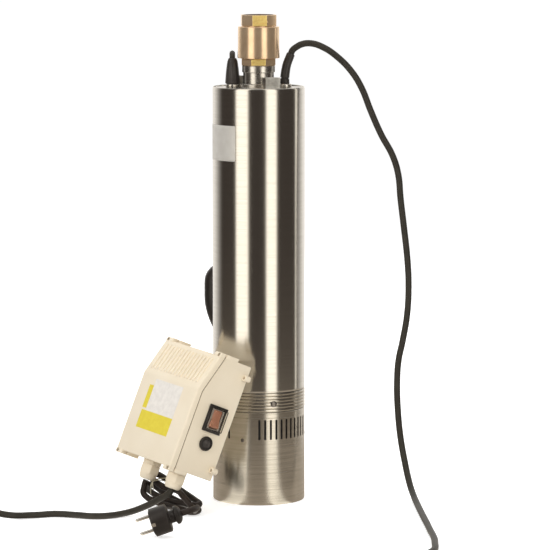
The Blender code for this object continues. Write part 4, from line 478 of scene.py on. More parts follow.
LOOP_HALF = 0.0082
LAYER = 0.0043
HANK = [
    (0.1120, -0.0158, -0.0035), (0.1190, -0.0100, -LAYER), (0.1210, 0.0000, -LAYER),
    (0.1160, 0.0064, -LAYER), (0.1040, 0.0078, -0.0050), (0.0800, 0.0045, -0.0085),
    (0.0560, 0.0020, -0.0100), (0.0300, 0.0012, -0.0110), (0.0120, 0.0026, -0.0110),
    (0.0010, 0.0010, -0.0105), (-0.0040, -0.0055, -0.0100), (0.0010, -0.0120, -0.0100),
    (0.0130, -0.0140, -0.0105), (0.0450, -0.0145, -0.0095), (0.0780, -0.0115, -0.0050),
    (0.1000, -0.0088, 0.0005), (0.1160, -0.0066, LAYER), (0.1215, 0.0000, LAYER + 0.0006),
    (0.1160, 0.0066, LAYER + 0.0006), (0.1040, LOOP_HALF, LAYER), (0.0560, LOOP_HALF, LAYER),
    (0.0100, LOOP_HALF, LAYER + 0.0010), (0.0005, 0.0060, LAYER + 0.0010),
    (-0.0032, 0.0000, LAYER + 0.0010), (0.0005, -0.0060, LAYER + 0.0010),
    (0.0100, -LOOP_HALF, LAYER), (0.0450, -LOOP_HALF, LAYER),
    (0.0820, -0.0085, LAYER + 0.0078), (0.1075, -0.0140, LAYER + 0.0088),
]
MAINS_LEAD = [
    (-0.15408, -0.07119, 0.03758), (-0.1556, -0.0717, 0.0337), (-0.1570, -0.0732, 0.0280),
    (-0.1580, -0.0760, 0.0215), (-0.1530, -0.0820, 0.0155), (-0.1420, -0.0905, 0.0118),
    (-0.1300, -0.1055, 0.0090), (-0.1150, -0.1220, 0.0086),
]
PLUG_FACE = Vector((-0.1387, -0.2920, 0.0190))
PLUG_AXIS = Vector((-0.945, 0, -0.325)).normalized()
PLUG_REAR = 0.0413
MAINS_TAIL = [
    (-0.0870, -0.1560, 0.0125), (-0.0850, -0.1760, 0.0150),
    (-0.0830, -0.2050, 0.0222), (-0.0810, -0.2350, 0.0285), (-0.0800, -0.2600, 0.0335),
    (-0.0825, -0.2790, 0.0360), (-0.0895, -0.2895, 0.0352),
    PLUG_FACE - PLUG_AXIS * (PLUG_REAR + MAINS_CORD / 2), PLUG_FACE - PLUG_AXIS * PLUG_REAR,
]
mains_route = MAINS_LEAD + [hank_point(*place) for place in HANK] + MAINS_TAIL
mains_cord = cord_curve("mains_cord", mains_route, MAINS_CORD, CORD_RUBBER)
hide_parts("mains_cord_lead", "mains_cord_hank", "mains_cord_tail")

TIE_WIRE = finish("paper-covered tie wire", (0.60, 0.55, 0.40), (0.46, 0.42, 0.32), roughness=0.6, patch=200)
TIE_THICK = 0.0012
TIE_PITCH = 0.0014
TIE_AT = 0.028
TIE_MIDDLE = (-0.0031, -0.0026)
TIE_HALF = (0.0166, 0.0130)
TIE_STEPS = 24
tie_route = []
for step in range(2 * TIE_STEPS + 1):
    angle = math.tau * step / TIE_STEPS
    tie_route.append(hank_point(TIE_AT + TIE_PITCH * step / TIE_STEPS,
                                TIE_MIDDLE[0] + TIE_HALF[0] * squared(math.cos(angle), 0.6),
                                TIE_MIDDLE[1] + TIE_HALF[1] * squared(math.sin(angle), 0.6)))
for further, aside, up in ((0.004, -0.0180, 0.0090), (0.010, -0.0225, 0.0065), (0.016, -0.0240, 0.0015)):
    tie_route.append(hank_point(TIE_AT + further, aside, up))
cord_tie = cord_curve("tie_wire", tie_route, TIE_THICK, TIE_WIRE)
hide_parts("cord_tie")


# Plug: one black rubbery moulding on the cord, with a grip between the body and the rear collar,
# a light spring contact at each side of the face, and two round steel pins.
def eased(profile, radius, segments=3):
    """Round each inner corner of an open profile by up to a radius."""
    points = [Vector(p) for p in profile]
    out = [points[0]]
    for before, corner, after in zip(points, points[1:], points[2:]):
        back, on = before - corner, after - corner
        reach = min(radius, back.length * 0.45, on.length * 0.45)
        first, last = corner + back.normalized() * reach, corner + on.normalized() * reach
        for step in range(segments + 1):
            t = step / segments
            out.append(first.lerp(corner, t).lerp(corner.lerp(last, t), t))
    out.append(points[-1])
    return [tuple(p) for p in out]


def shifted(x, y, z):
    """A placement moved along the three axes."""
    return Matrix.Translation((x, y, z))


def block(size, at, bm=None):
    """A box of the given size in a placement, in a new bmesh or a given one."""
    bm = bm or bmesh.new()
    bmesh.ops.create_cube(bm, size=1.0, matrix=at @ Matrix.Diagonal((*size, 1)))
    return bm


PIN_STEEL = finish("nickelled pin", (0.62, 0.60, 0.56), roughness=0.22, Metallic=1.0)
PIN_PROFILE = [(0.0, 0.0), (0.00235, 0.0), (0.00235, 0.0170), (0.0012, 0.0190), (0.0, 0.0190)]
CONTACT = (0.0022, 0.0046, 0.0060)
CONTACT_ASIDE, CONTACT_BACK = 0.0183, 0.0032
plug_turn = PLUG_AXIS.to_track_quat("Z", "Y").to_matrix().to_4x4()
plug_turn.translation = PLUG_FACE
moulding = [(0.0, 0.0), (0.0165, 0.0), (0.0165, -0.0012), (0.0190, -0.0012), (0.0188, -0.0230),
            (0.0170, -0.0243), (0.0092, -0.0248), (0.0086, -0.0262), (0.0086, -0.0318), (0.0124, -0.0328),
            (0.0124, -0.0362), (0.0108, -0.0384), (0.0070, -0.0408), (0.0, -0.0410)]
plug_shell = finished("plug_shell", spun(eased(moulding, 0.0008), 64, plug_turn), BLACK_MOULDING)
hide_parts("plug_body")
bm = bmesh.new()
for side in (-1, 1):
    block(CONTACT, plug_turn @ shifted(side * CONTACT_ASIDE, 0.0, -CONTACT_BACK), bm)
plug_contacts = finished("plug_contacts", bm, PIN_STEEL)
for title in ("a", "b"):
    low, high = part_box("plug_pin_" + title)
    offset = (Vector(low) + Vector(high)) / 2 - PLUG_FACE
    pin_turn = plug_turn.copy()
    pin_turn.translation = PLUG_FACE + offset - PLUG_AXIS * offset.dot(PLUG_AXIS)
    bm = spun(eased(PIN_PROFILE, 0.0006), 32, pin_turn)
    pin = finished("plug_pin_round_" + title, bm, PIN_STEEL)
    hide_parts("plug_pin_" + title)

# Barrel: a rolled and polished stainless tube whose top edge is turned over a little. A blank
# plate is stuck round its left side, as a rating plate would be.
STEEL = finish("polished stainless", (0.66, 0.635, 0.585), (0.60, 0.575, 0.525), roughness=0.19, spread=0.06,
               patch=14.0, grain=60.0, bump=0.008, stretch=(1, 1, 60), Metallic=1.0, Anisotropic=0.55,
               Anisotropic_Rotation=0.25)
SATIN_STEEL = finish("brushed stainless", (0.62, 0.585, 0.52), (0.53, 0.50, 0.44), roughness=0.25,
                     spread=0.10, patch=14.0, grain=60.0, bump=0.012, stretch=(1, 1, 40), Metallic=1.0,
                     Anisotropic=0.6, Anisotropic_Rotation=0.25)
BARREL = 0.0635
BARREL_BORE = 0.0620
BARREL_LOW, BARREL_TOP = 0.1560, 0.5730
TURNED_EDGE = ((0, 0.0065), (0, 0.0045), (0.00007, 0.0028), (0.00025, 0.0014), (0.0006, 0.0004), (0.0010, 0))
wall = [(BARREL - 0.0006, BARREL_LOW), (BARREL, BARREL_LOW + 0.001), (BARREL, BARREL_LOW + 0.003),
        (BARREL, 0.22), (BARREL, 0.40)]
wall += [(BARREL - inward, BARREL_TOP - down) for inward, down in TURNED_EDGE]
wall += [(BARREL_BORE + 0.0003, BARREL_TOP - 0.0002), (BARREL_BORE, BARREL_TOP - 0.0008),
         (BARREL_BORE, BARREL_LOW)]
barrel = finished("barrel", spun(wall, 192, closed=True), STEEL)
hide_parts("outer_sleeve")

PLATE_FACE = finish("satin silver label", (0.64, 0.61, 0.555), (0.60, 0.565, 0.51), roughness=0.42, patch=90,
                    Metallic=0.25)
PLATE_RADIUS = BARREL + 0.00005
PLATE_HEIGHTS = (0.4735, 0.5220)
PLATE_BEARINGS = (-84.0, -29.8)
PLATE_CORNER = 0.002
PLATE_THICK = 0.0003
half_wide = math.radians(PLATE_BEARINGS[1] - PLATE_BEARINGS[0]) * PLATE_RADIUS / 2
half_high = (PLATE_HEIGHTS[1] - PLATE_HEIGHTS[0]) / 2
bm = bmesh.new()
bmesh.ops.create_grid(bm, x_segments=40, y_segments=12, size=0.5)
bmesh.ops.scale(bm, vec=(2 * half_wide, 2 * half_high, 1), verts=bm.verts)
for vert in bm.verts:
    over = Vector((abs(vert.co.x) - half_wide + PLATE_CORNER, abs(vert.co.y) - half_high + PLATE_CORNER))
    if min(over) > 0 and over.length > PLATE_CORNER:
        away = over.normalized() * PLATE_CORNER
        vert.co.x = math.copysign(half_wide - PLATE_CORNER + away.x, vert.co.x)
        vert.co.y = math.copysign(half_high - PLATE_CORNER + away.y, vert.co.y)
    bearing = math.radians(sum(PLATE_BEARINGS) / 2) + vert.co.x / PLATE_RADIUS
    vert.co = Vector((PLATE_RADIUS * math.sin(bearing), -PLATE_RADIUS * math.cos(bearing),
                      sum(PLATE_HEIGHTS) / 2 + vert.co.y))
plate = finished("rating_plate", bm, PLATE_FACE)
thick = plate.modifiers.new("thickness", "SOLIDIFY")
thick.thickness = PLATE_THICK
thick.offset = 1.0

# Intake ring: a stainless ring with six rounded ridges between the barrel and the strainer, held
# by three cross-headed screws.
RING_LOW, RING_TOP = 0.1293, 0.1557
RING_BORE = 0.0575
RIDGES = 6
RIDGE_SHAPE = ((-0.0014, 0.03), (-0.0012, 0.20), (0.0002, 0.28), (0.0004, 0.42), (0.0004, 0.72),
               (0.0001, 0.86), (-0.0010, 0.95))
ridge = (RING_TOP - RING_LOW) / RIDGES
outer = [(BARREL + out, RING_LOW + (step + share) * ridge)
         for step in range(RIDGES) for out, share in RIDGE_SHAPE]
outer = [(RING_BORE, RING_LOW), *outer, (BARREL - 0.0009, RING_TOP), (RING_BORE, RING_TOP)]
ring = finished("ridged_ring", spun(outer, 192, closed=True), SATIN_STEEL)
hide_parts("intake_ring")
SCREW_STEEL = finish("zinc-plated screw", (0.24, 0.22, 0.20), (0.17, 0.155, 0.14), roughness=0.30, patch=300,
                     Metallic=1.0)
RECESS_TURN = 0.4


def screws(name, places, radius, height, domed):
    """Pan-headed screws with a cross recess; each head points along its place's Z axis."""
    bm = bmesh.new()
    top = height + domed
    head = [(radius, 0.0), (radius, height * 0.45), (radius * 0.86, height * 0.85), (radius * 0.55, top),
            (0.0, top)]
    for at in places:
        spun(head, 40, at, bm=bm)
        for turn in (0, math.pi / 2):
            slot = Matrix.Rotation(turn + RECESS_TURN, 4, "Z") @ shifted(0, 0, top)
            block((radius * 1.15, radius * 0.16, 0.0003), at @ slot, bm)
    finished(name, bm, SCREW_STEEL)


def round_pump(bearing, height, radius=BARREL - 0.0002):
    """Placement at a bearing round the pump whose Z axis points outwards."""
    angle = math.radians(bearing)
    return (shifted(radius * math.sin(angle), -radius * math.cos(angle), height)
            @ Matrix.Rotation(angle, 4, "Z") @ Matrix.Rotation(math.pi / 2, 4, "X"))


RING_SCREWS = [round_pump(bearing, 0.1408) for bearing in (19, 139, 259)]
screws("ring_screws", RING_SCREWS, 0.0046, 0.0009, 0.0004)

# Strainer cup: a spun stainless cup under the intake ring. Three groups of twelve upright slots
# let the water in, and small screws hold it between the groups.
CUP_TOP = 0.129
CUP_EDGE = 0.0022
CUP_BORE = BARREL - 0.0015
CUP_FLOOR = 0.0030
CUP_SEAM = 0.1213
SLOT, SLOT_DEEP = 0.0030, 0.006
SLOT_LOW, SLOT_HIGH = 0.0914, 0.1189
SLOT_GROUPS, SLOTS = 3, 12
FIRST_SLOT, SLOT_STEP = 1, 7.2


def soften(bm, width, segments=3, profile=0.5, edges=None):
    """Round all edges of a bmesh, or only the given ones."""
    bmesh.ops.bevel(bm, geom=edges or list(bm.edges), offset=width, segments=segments, affect="EDGES",
                    profile=profile, material=-1)
    return bm


def carve(piece, bm, operation="DIFFERENCE"):
    """Cut a bmesh's shape out of a piece, or add it, for good."""
    mesh = bpy.data.meshes.new("cutter")
    bmesh.ops.recalc_face_normals(bm, faces=bm.faces)
    bm.to_mesh(mesh)
    bm.free()
    tool = bpy.data.objects.new("cutter", mesh)
    scene.collection.objects.link(tool)
    step = piece.modifiers.new("carve", "BOOLEAN")
    step.operation = operation
    step.solver = "EXACT"
    step.object = tool
    bpy.context.view_layer.update()
    made = bpy.data.meshes.new_from_object(piece.evaluated_get(bpy.context.evaluated_depsgraph_get()))
    piece.modifiers.clear()
    old = piece.data
    made.name = old.name + "_carved"
    piece.data = made
    bpy.data.meshes.remove(old)
    bpy.data.objects.remove(tool)
    bpy.data.meshes.remove(mesh)
    made.shade_smooth()
    made.set_sharp_from_angle(angle=math.radians(35))


cup = [(0.0, 0.0), (0.040, 0.0), (BARREL - CUP_EDGE, 0.0), (BARREL - CUP_EDGE * 0.45, 0.0004),
       (BARREL - CUP_EDGE * 0.1, 0.0012), (BARREL, CUP_EDGE), (BARREL, CUP_EDGE + 0.002), (BARREL, 0.045),
       (BARREL, 0.085), (BARREL, CUP_SEAM - 0.0003), (BARREL - 0.0003, CUP_SEAM), (BARREL, CUP_SEAM + 0.0003),
       (BARREL, CUP_TOP - 0.0006), (BARREL - 0.0006, CUP_TOP), (CUP_BORE, CUP_TOP), (CUP_BORE, 0.085),
       (CUP_BORE, 0.0045), (CUP_BORE - 0.0015, CUP_FLOOR), (0.040, CUP_FLOOR), (0.0, CUP_FLOOR)]
strainer = finished("strainer", spun(cup, 216), SATIN_STEEL)
bm = bmesh.new()
for group in range(SLOT_GROUPS):
    for step in range(SLOTS):
        bearing = FIRST_SLOT + 360 / SLOT_GROUPS * group + SLOT_STEP * step
        at = round_pump(bearing, (SLOT_LOW + SLOT_HIGH) / 2, (BARREL + CUP_BORE) / 2)
        block((SLOT, SLOT_HIGH - SLOT_LOW, SLOT_DEEP), at, bm)
carve(strainer, soften(bm, 0.0007, 2, edges=[e for e in bm.edges if abs(e.calc_length() - SLOT_DEEP) < 1e-4]))
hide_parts("strainer_cup")
CUP_SCREWS = [round_pump(bearing, 0.0905) for bearing in (-20.5, 99.5, 219.5)]
screws("strainer_screws", CUP_SCREWS, 0.0026, 0.0008, 0.0003)

# Slot shade: a black sleeve of painted shade, with a fine grainy bump, that stands inside the
# strainer cup behind the slots, so that nothing shows through them and they read dark.
SLOT_SHADE_BLACK = finish("black painted slot shade", (0.012, 0.011, 0.010), (0.020, 0.018, 0.016), roughness=0.7, grain=2500,
               bump=0.6)
sleeve = [(0.0607, 0.0880), (0.0607, 0.1225), (0.0602, 0.1225), (0.0602, 0.0880)]
finished("filter_gauze", spun(sleeve, 120, closed=True), SLOT_SHADE_BLACK)

# Delivery head: a machined stainless plug in the top of the barrel with a raised boss, two cable
# ports and two folded brackets that are pierced for the lowering rope.
HEAD_FACE = 0.5715
HEAD_EDGE = 0.0617
HEAD_STEEL = finish("machined stainless", (0.70, 0.675, 0.63), (0.58, 0.555, 0.51), roughness=0.26,
                    spread=0.2, patch=70, grain=500, bump=0.1, Metallic=1.0)
BRACKET_STEEL = finish("sand-blasted stainless", (0.72, 0.70, 0.65), (0.58, 0.56, 0.51), roughness=0.48,
                       patch=260, grain=900, bump=0.6, Metallic=0.6)
PORTS = {"pump": (0.036, 0.012), "float": (-0.036, 0.012)}
PORT_BORE = 0.0070
CHEEK = 0.0035
EYE = 0.00425


def rod(radius, length, at, sides, bm=None):
    """A bar with a number of sides along the placed Z axis, in a new bmesh or a given one."""
    bm = bm or bmesh.new()
    bmesh.ops.create_cone(bm, cap_ends=True, segments=sides, radius1=radius, radius2=radius, depth=length,
                          matrix=at)
    return bm


def plain(name, bm):
    """Put a bmesh in the scene as it stands, before it has its materials."""
    mesh = bpy.data.meshes.new(name)
    bm.to_mesh(mesh)
    bm.free()
    return link(name, mesh)


def dress(piece, *materials):
    """Give a carved piece its materials."""
    piece.data.materials.clear()
    for material in materials:
        piece.data.materials.append(material)


def folded_bracket(name, half_turn):
    """A floor, a back and two cheeks of thick sheet, with a round eye through both cheeks."""
    turn = Matrix.Rotation(half_turn, 4, "Z")
    near, far, back, front = 0.0062, 0.0297, -0.0215, -0.0360
    low, floor, high = HEAD_FACE - 0.0003, 0.5745, 0.5865
    sheets = [((near, front, low), (far, back, floor)), ((near, -0.0245, low), (far, back, high)),
              ((near, front, low), (near + CHEEK, back, high)),
              ((far - CHEEK, front, low), (far, back, high))]
    piece = None
    for first, last in sheets:
        first, last = Vector(first), Vector(last)
        part = block(last - first, turn @ Matrix.Translation((first + last) / 2))
        if piece:
            carve(piece, part, "UNION")
        else:
            piece = plain(name, part)
    across = turn @ shifted(0.018, -0.03025, 0.5805) @ Matrix.Rotation(math.pi / 2, 4, "Y")
    carve(piece, rod(EYE, 0.03, across, 48))
    dress(piece, BRACKET_STEEL, HEAD_STEEL)
    for face in piece.data.polygons:
        face.material_index = int(abs(face.center.x) < near + CHEEK + 0.0002)
    edge = piece.modifiers.new("edges", "BEVEL")
    edge.width = 0.0006
    edge.segments = 2
    edge.limit_method = "ANGLE"
    edge.harden_normals = True


top = [(0.0181, 0.5645), (0.0181, 0.5762), (0.0188, 0.5770), (0.0252, 0.5770), (0.0259, 0.5763),
       (0.0260, HEAD_FACE + 0.0006), (0.0266, HEAD_FACE), (HEAD_EDGE - 0.0008, HEAD_FACE),
       (HEAD_EDGE, HEAD_FACE - 0.0008), (HEAD_EDGE, 0.5485), (0.0585, 0.5485), (0.0585, 0.5645)]
head = finished("machined_head", spun(top, 144, closed=True), HEAD_STEEL)
bm = bmesh.new()
for x, y in PORTS.values():
    rod(PORT_BORE, 0.02, shifted(x, y, 0.568), 48, bm)
carve(head, bm)
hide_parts("delivery_head")
folded_bracket("front_bracket", 0.0)
folded_bracket("back_bracket", math.pi)

# Cable ports: a flanged stainless gland in each port. A moulded rubber boot stands on the pump
# cable's gland and leans with the cable, and a short ribbed one holds the float cable.
BOOT_RUBBER = finish("moulded boot rubber", (0.026, 0.021, 0.019), (0.040, 0.034, 0.030), roughness=0.42,
                     bump=0.25, patch=80)
port_flange = [(0.0064, 0.5645), (0.0064, 0.5757), (0.0086, 0.5757), (0.0093, 0.5750), (0.0095, 0.5742),
               (0.0095, 0.5722), (0.0091, 0.5718), (0.0068, 0.5718), (0.0068, 0.5645)]
for title, (x, y) in PORTS.items():
    bm = spun(port_flange, 72, shifted(x, y, 0), closed=True)
    piece = finished(title + "_port_flange", bm, HEAD_STEEL)
    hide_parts(title + "_cable_gland")


def tube(centres, radii, sides):
    """A capped round tube through a line of centres, with a radius at each."""
    bm = bmesh.new()
    rings = []
    for index, (centre, radius) in enumerate(zip(centres, radii)):
        heading = centres[min(index + 1, len(centres) - 1)] - centres[max(index - 1, 0)]
        turn = heading.to_track_quat("Z", "Y").to_matrix()
        spokes = (math.tau * i / sides for i in range(sides))
        rings.append([bm.verts.new(centre + turn @ Vector((radius * math.cos(a), radius * math.sin(a), 0)))
                      for a in spokes])
    for lower, upper in zip(rings, rings[1:]):
        for i in range(sides):
            after = (i + 1) % sides
            bm.faces.new((lower[i], lower[after], upper[after], upper[i]))
    bm.faces.new(rings[0])
    bm.faces.new(rings[-1])
    return bm


BOOT_LINE = [Vector(place) for place in ((0.0360, 0.012, 0.5761), (0.0361, 0.012, 0.5860),
                                         (0.0387, 0.012, 0.6017), (0.0445, 0.012, 0.6171))]
BOOT_RADIUS = 0.0066
BOOT_TAPER = 0.0008
BOOT_ROUNDED = 0.0005
BOOT_STEPS = 24
centres = []
radii = []
for step in range(BOOT_STEPS + 1):
    along = 3 * step / BOOT_STEPS
    span = min(int(along), 2)
    part = along - span
    before, first, last, after = (BOOT_LINE[min(max(span + i, 0), 3)] for i in (-1, 0, 1, 2))
    centres.append(0.5 * (2 * first + (last - before) * part
                          + (2 * before - 5 * first + 4 * last - after) * part ** 2
                          + (3 * first - 3 * last + after - before) * part ** 3))
    radii.append(BOOT_RADIUS - BOOT_TAPER * step / BOOT_STEPS - BOOT_ROUNDED * (step in (0, BOOT_STEPS)))
boot = finished("pump_cable_boot", tube(centres, radii, 40), BOOT_RUBBER, sharp=50)
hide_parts("pump_cable_sleeve")
BOOT_RIBS = 12
RIB_DEPTH = 0.035
RIB_TOP, RIB_FADE = 0.6046, 0.02
FLOAT_PORT = Vector(PORTS["float"])
float_boot = [(0.0, 0.5761), (0.0096, 0.5761), (0.0101, 0.5768), (0.0099, 0.5800), (0.0094, 0.5880),
              (0.0086, 0.5960), (0.0077, 0.6030), (0.0067, 0.6080), (0.0053, 0.6110), (0.0, 0.6118)]
bm = spun(float_boot, 96, shifted(*FLOAT_PORT, 0))
for vert in bm.verts:
    out = vert.co.xy - FLOAT_PORT
    if out.length > 0.006:
        rib = math.cos(BOOT_RIBS * math.atan2(out.y, out.x))
        out *= 1 - RIB_DEPTH * (1 - rib) * min(1.0, (RIB_TOP - vert.co.z) / RIB_FADE)
        vert.co.xy = FLOAT_PORT + out
float_boot = finished("float_cable_boot", bm, BOOT_RUBBER)
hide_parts("float_cable_sleeve")

# Discharge nipple: turned stainless, screwed down into the boss, with a plain collar and a male
# thread under the check valve.
THREAD = 0.0022
nipple = [(0.0150, 0.5645), (0.0150, 0.6128), (0.0153, 0.6131), (0.0200, 0.6131), (0.0206, 0.6125)]
for turn in range(3):
    nipple += [(0.0206, 0.6112 - THREAD * turn), (0.0197, 0.6101 - THREAD * turn)]
nipple += [(0.0203, 0.6028), (0.0203, 0.6018), (0.0222, 0.6018), (0.02265, 0.6012), (0.02265, 0.5930),
           (0.0221, 0.5923), (0.0212, 0.5920), (0.0212, 0.5785), (0.0214, 0.5773), (0.0178, 0.5773),
           (0.0178, 0.5645)]
nipple = finished("turned_nipple", spun(nipple, 128, closed=True), HEAD_STEEL)
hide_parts("discharge_nipple")

# Check valve: a cast and turned brass body that is screwed on an octagonal seat ring, with an
# octagon on top for the spanner and a three-armed guide inside for the poppet's stem. Turned
# faces are brown and polished, and the flats keep a rough golden skin.
BRASS = finish("turned brass", (0.84, 0.62, 0.40), (0.73, 0.51, 0.32), roughness=0.25, spread=0.16, patch=45,
               grain=700, bump=0.06, Metallic=0.72, Anisotropic=0.5, Anisotropic_Rotation=0.25)
# Painted shade: a dark brown brass for the inner walls of the octagons' bores, in place of the shade down the
# bore.
BORE_SHADE_BRASS = finish("brass painted with bore shade", (0.17, 0.11, 0.07), (0.12, 0.08, 0.05), roughness=0.5,
                    Metallic=0.6)
ROUGH_BRASS = finish("rough-cast brass flat", (1.0, 0.78, 0.28), (0.88, 0.62, 0.20), roughness=0.46,
                     spread=0.3, patch=260, grain=700, bump=0.8, Metallic=0.7)
CHAMFER = 0.0009
SEAT_TURN = math.radians(22.5)
OUTLET_TURN = math.radians(22.5 + 5)


def octagon_ring(name, flats, low, high, bore, turn):
    """An octagonal ring: rough flats between two chamfered rims, round a bore."""
    middle = shifted(0, 0, (low + high) / 2)
    bar = rod(flats / 2 / math.cos(math.pi / 8), high - low, middle @ Matrix.Rotation(turn, 4, "Z"), 8)
    piece = plain(name, soften(bar, CHAMFER, profile=0.6))
    carve(piece, rod(bore, 0.04, middle, 96))
    dress(piece, BRASS, ROUGH_BRASS, BORE_SHADE_BRASS)
    for face in piece.data.polygons:
        out = face.center.xy
        flat = abs(face.normal.z) < 0.3 and face.normal.xy.dot(out.normalized()) > 0.5
        face.material_index = int(flat and out.length > flats * 0.45 and abs(face.normal.y) > 0.9)
        # Painted shade: faces of the bore's inner wall get the dark brass.
        if abs(face.normal.z) < 0.3 and out.length < bore * 1.01:
            face.material_index = 2
    return piece


seat = octagon_ring("seat_octagon", 0.0464, 0.6021, 0.6115, 0.0207, SEAT_TURN)
spigot = [(0.0165, 0.6116), (0.0165, 0.6218), (0.0170, 0.6223), (0.0240, 0.6223), (0.0247, 0.6216),
          (0.0247, 0.6116)]
finished("seat_spigot", spun(spigot, 128, closed=True), BRASS)
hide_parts("valve_seat_ring")
octagon_ring("outlet_octagon", 0.0475, 0.6560, 0.6713, 0.0209, OUTLET_TURN)
shell = [(0.0250, 0.6118), (0.0250, 0.6471), (0.0209, 0.6474), (0.0209, 0.6562), (0.0233, 0.6562),
         (0.0233, 0.6552), (0.0278, 0.6551), (0.0284, 0.6545), (0.0285, 0.6530), (0.0285, 0.6300),
         (0.0289, 0.6180), (0.0291, 0.6130), (0.0289, 0.6121), (0.0283, 0.6118)]
valve = finished("valve_shell", spun(shell, 160, closed=True), BRASS)
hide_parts("valve_body")
GUIDE_ARMS = 3
GUIDE_ARM = (0.0152, 0.003, 0.0074)
hub = [(0.0034, 0.6474), (0.0065, 0.6474), (0.0065, 0.6550), (0.0034, 0.6550)]
bm = spun(eased(hub, 0.0005), 48, closed=True)
for arm in range(GUIDE_ARMS):
    block(GUIDE_ARM, Matrix.Rotation(math.tau * arm / GUIDE_ARMS, 4, "Z") @ shifted(0.0135, 0, 0.6512), bm)
finished("stem_guide", bm, BRASS)

# Valve spring: a coil of stainless wire between the poppet and the stem guide.
SPRING_METAL = finish("stainless spring wire", (0.60, 0.585, 0.55), (0.52, 0.505, 0.47), roughness=0.24,
                      patch=300, Metallic=1.0)
SPRING_LOW, SPRING_TOP = 0.6288, 0.6465
SPRING_RADIUS = 0.0055
SPRING_WIRE = 0.0005
SPRING_TURNS = 4.5
SPRING_STEPS = 144
centres = []
for step in range(SPRING_STEPS + 1):
    angle = math.tau * SPRING_TURNS * step / SPRING_STEPS
    centres.append(Vector((SPRING_RADIUS * math.cos(angle), SPRING_RADIUS * math.sin(angle),
                           SPRING_LOW + (SPRING_TOP - SPRING_LOW) * step / SPRING_STEPS)))
bm = tube(centres, [SPRING_WIRE] * len(centres), 12)
spring = finished("wire_spring", bm, SPRING_METAL, sharp=60)
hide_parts("valve_spring")
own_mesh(spring)

# Control box: an ivory moulded case that leans its rear edge on the barrel. The back shell has
# screw bosses and four pierced ears. All box shapes are built upright and then leaned.
BOX_PLACE = (shifted(-0.10234, -0.07119, 0.0486)
             @ Euler((math.radians(-21.8), math.radians(3.2), math.radians(-55.7))).to_matrix().to_4x4())
BOX_WIDE, BOX_HIGH, BOX_DEEP = 0.136, 0.164, 0.073
BEND_AT, BEND_SLOPE = 0.112, 0.3263
SHELL = 0.0025
SEAM_BACK = 0.0100
COVER_RIM = 0.0087
BOSS_PROUD = 0.0047
BOSS_EDGES = (0.0158, 0.0002)
BOSS_BACK = 0.030
IVORY = finish("ivory moulding", (0.875, 0.770, 0.600), (0.845, 0.735, 0.560), roughness=0.42, spread=0.10,
               patch=18, grain=900, bump=0.12)


def face_line(back, low, high):
    """The front's (depth, height) corners between two heights, set back square to its faces."""
    stretch = math.hypot(1, BEND_SLOPE)
    bend = BEND_AT - back * (stretch - 1) / BEND_SLOPE
    upper = -BOX_DEEP + (high - BEND_AT) * BEND_SLOPE + back * stretch
    return [(-BOX_DEEP + back, low), (-BOX_DEEP + back, bend), (upper, high)]


def slab(low, high, outline, edge=0.0, square=(), segments=3, bm=None):
    """A prism between two x values from (depth, height) points, in a new bmesh or a given one.
    Its edges are rounded but for those that join two of the square points."""
    part = bmesh.new()
    face = part.faces.new([part.verts.new((low, *point)) for point in outline])
    made = bmesh.ops.extrude_face_region(part, geom=[face])
    moved = [item for item in made["geom"] if isinstance(item, bmesh.types.BMVert)]
    bmesh.ops.translate(part, vec=(high - low, 0, 0), verts=moved)
    bmesh.ops.recalc_face_normals(part, faces=part.faces)
    if edge:
        kept = {(round(outline[i][0], 6), round(outline[i][1], 6)) for i in square}
        soften(part, edge, segments, edges=[
            e for e in part.edges if not all((round(v.co.y, 6), round(v.co.z, 6)) in kept for v in e.verts)])
    if bm is None:
        return part
    mesh = bpy.data.meshes.new("slab")
    part.to_mesh(mesh)
    part.free()
    bm.from_mesh(mesh)
    bpy.data.meshes.remove(mesh)
    return bm


def leaned(bm):
    """Move upright box shapes to the leaning box."""
    bmesh.ops.transform(bm, matrix=BOX_PLACE, verts=bm.verts)
    return bm


def bosses(front_back, rear_back):
    """Four screw bosses, proud of the box's top and bottom, between two set-backs."""
    bm = bmesh.new()
    for low, high in ((-BOSS_PROUD, SHELL / 2), (BOX_HIGH - SHELL / 2, BOX_HIGH + BOSS_PROUD)):
        corner = 2 if low > BEND_AT else 0
        lean = (high - low) * BEND_SLOPE if corner else 0
        rear, front = (face_line(back, low, high)[corner][0] for back in (rear_back, front_back))
        for side in (-1, 1):
            ends = sorted(side * (BOX_WIDE / 2 - inward) for inward in BOSS_EDGES)
            slab(*ends, [(rear - lean, low), (front - lean, low), (front, high), (rear, high)], 0.0010,
                 segments=2, bm=bm)
    return bm


outline = [(0, 0), *face_line(SEAM_BACK, 0, BOX_HIGH), (0, BOX_HIGH)]
bm = slab(-BOX_WIDE / 2, BOX_WIDE / 2, outline, 0.0016, square=(1, 2, 3))
base = finished("box_shell", leaned(bm), IVORY)
carve(base, leaned(bosses(SEAM_BACK, BOSS_BACK)), "UNION")
INNER = BOX_WIDE / 2 - SHELL
hollow = [(-SHELL, SHELL), *face_line(-SHELL, SHELL, BOX_HIGH - SHELL), (-SHELL, BOX_HIGH - SHELL)]
carve(base, leaned(slab(-INNER, INNER, hollow)))
DEPTHWISE = Matrix.Rotation(math.pi / 2, 4, "X")
SIDEWAYS = Matrix.Rotation(math.pi / 2, 4, "Y")
EARS = [(side * (BOX_WIDE / 2 + 0.0035), level) for side in (-1, 1) for level in (0.0145, 0.147)]
EAR, EAR_HOLE, EAR_DEEP = 0.00425, 0.00225, 0.0090
ear = eased([(0.0, 0.0), (EAR, 0.0), (EAR, EAR_DEEP), (0.0, EAR_DEEP)], 0.0005, 2)
bm = bmesh.new()
for x, level in EARS:
    spun(ear, 40, shifted(x, 0, level) @ DEPTHWISE, bm=bm)
bmesh.ops.remove_doubles(bm, verts=bm.verts, dist=1e-6)
carve(base, leaned(bm), "UNION")
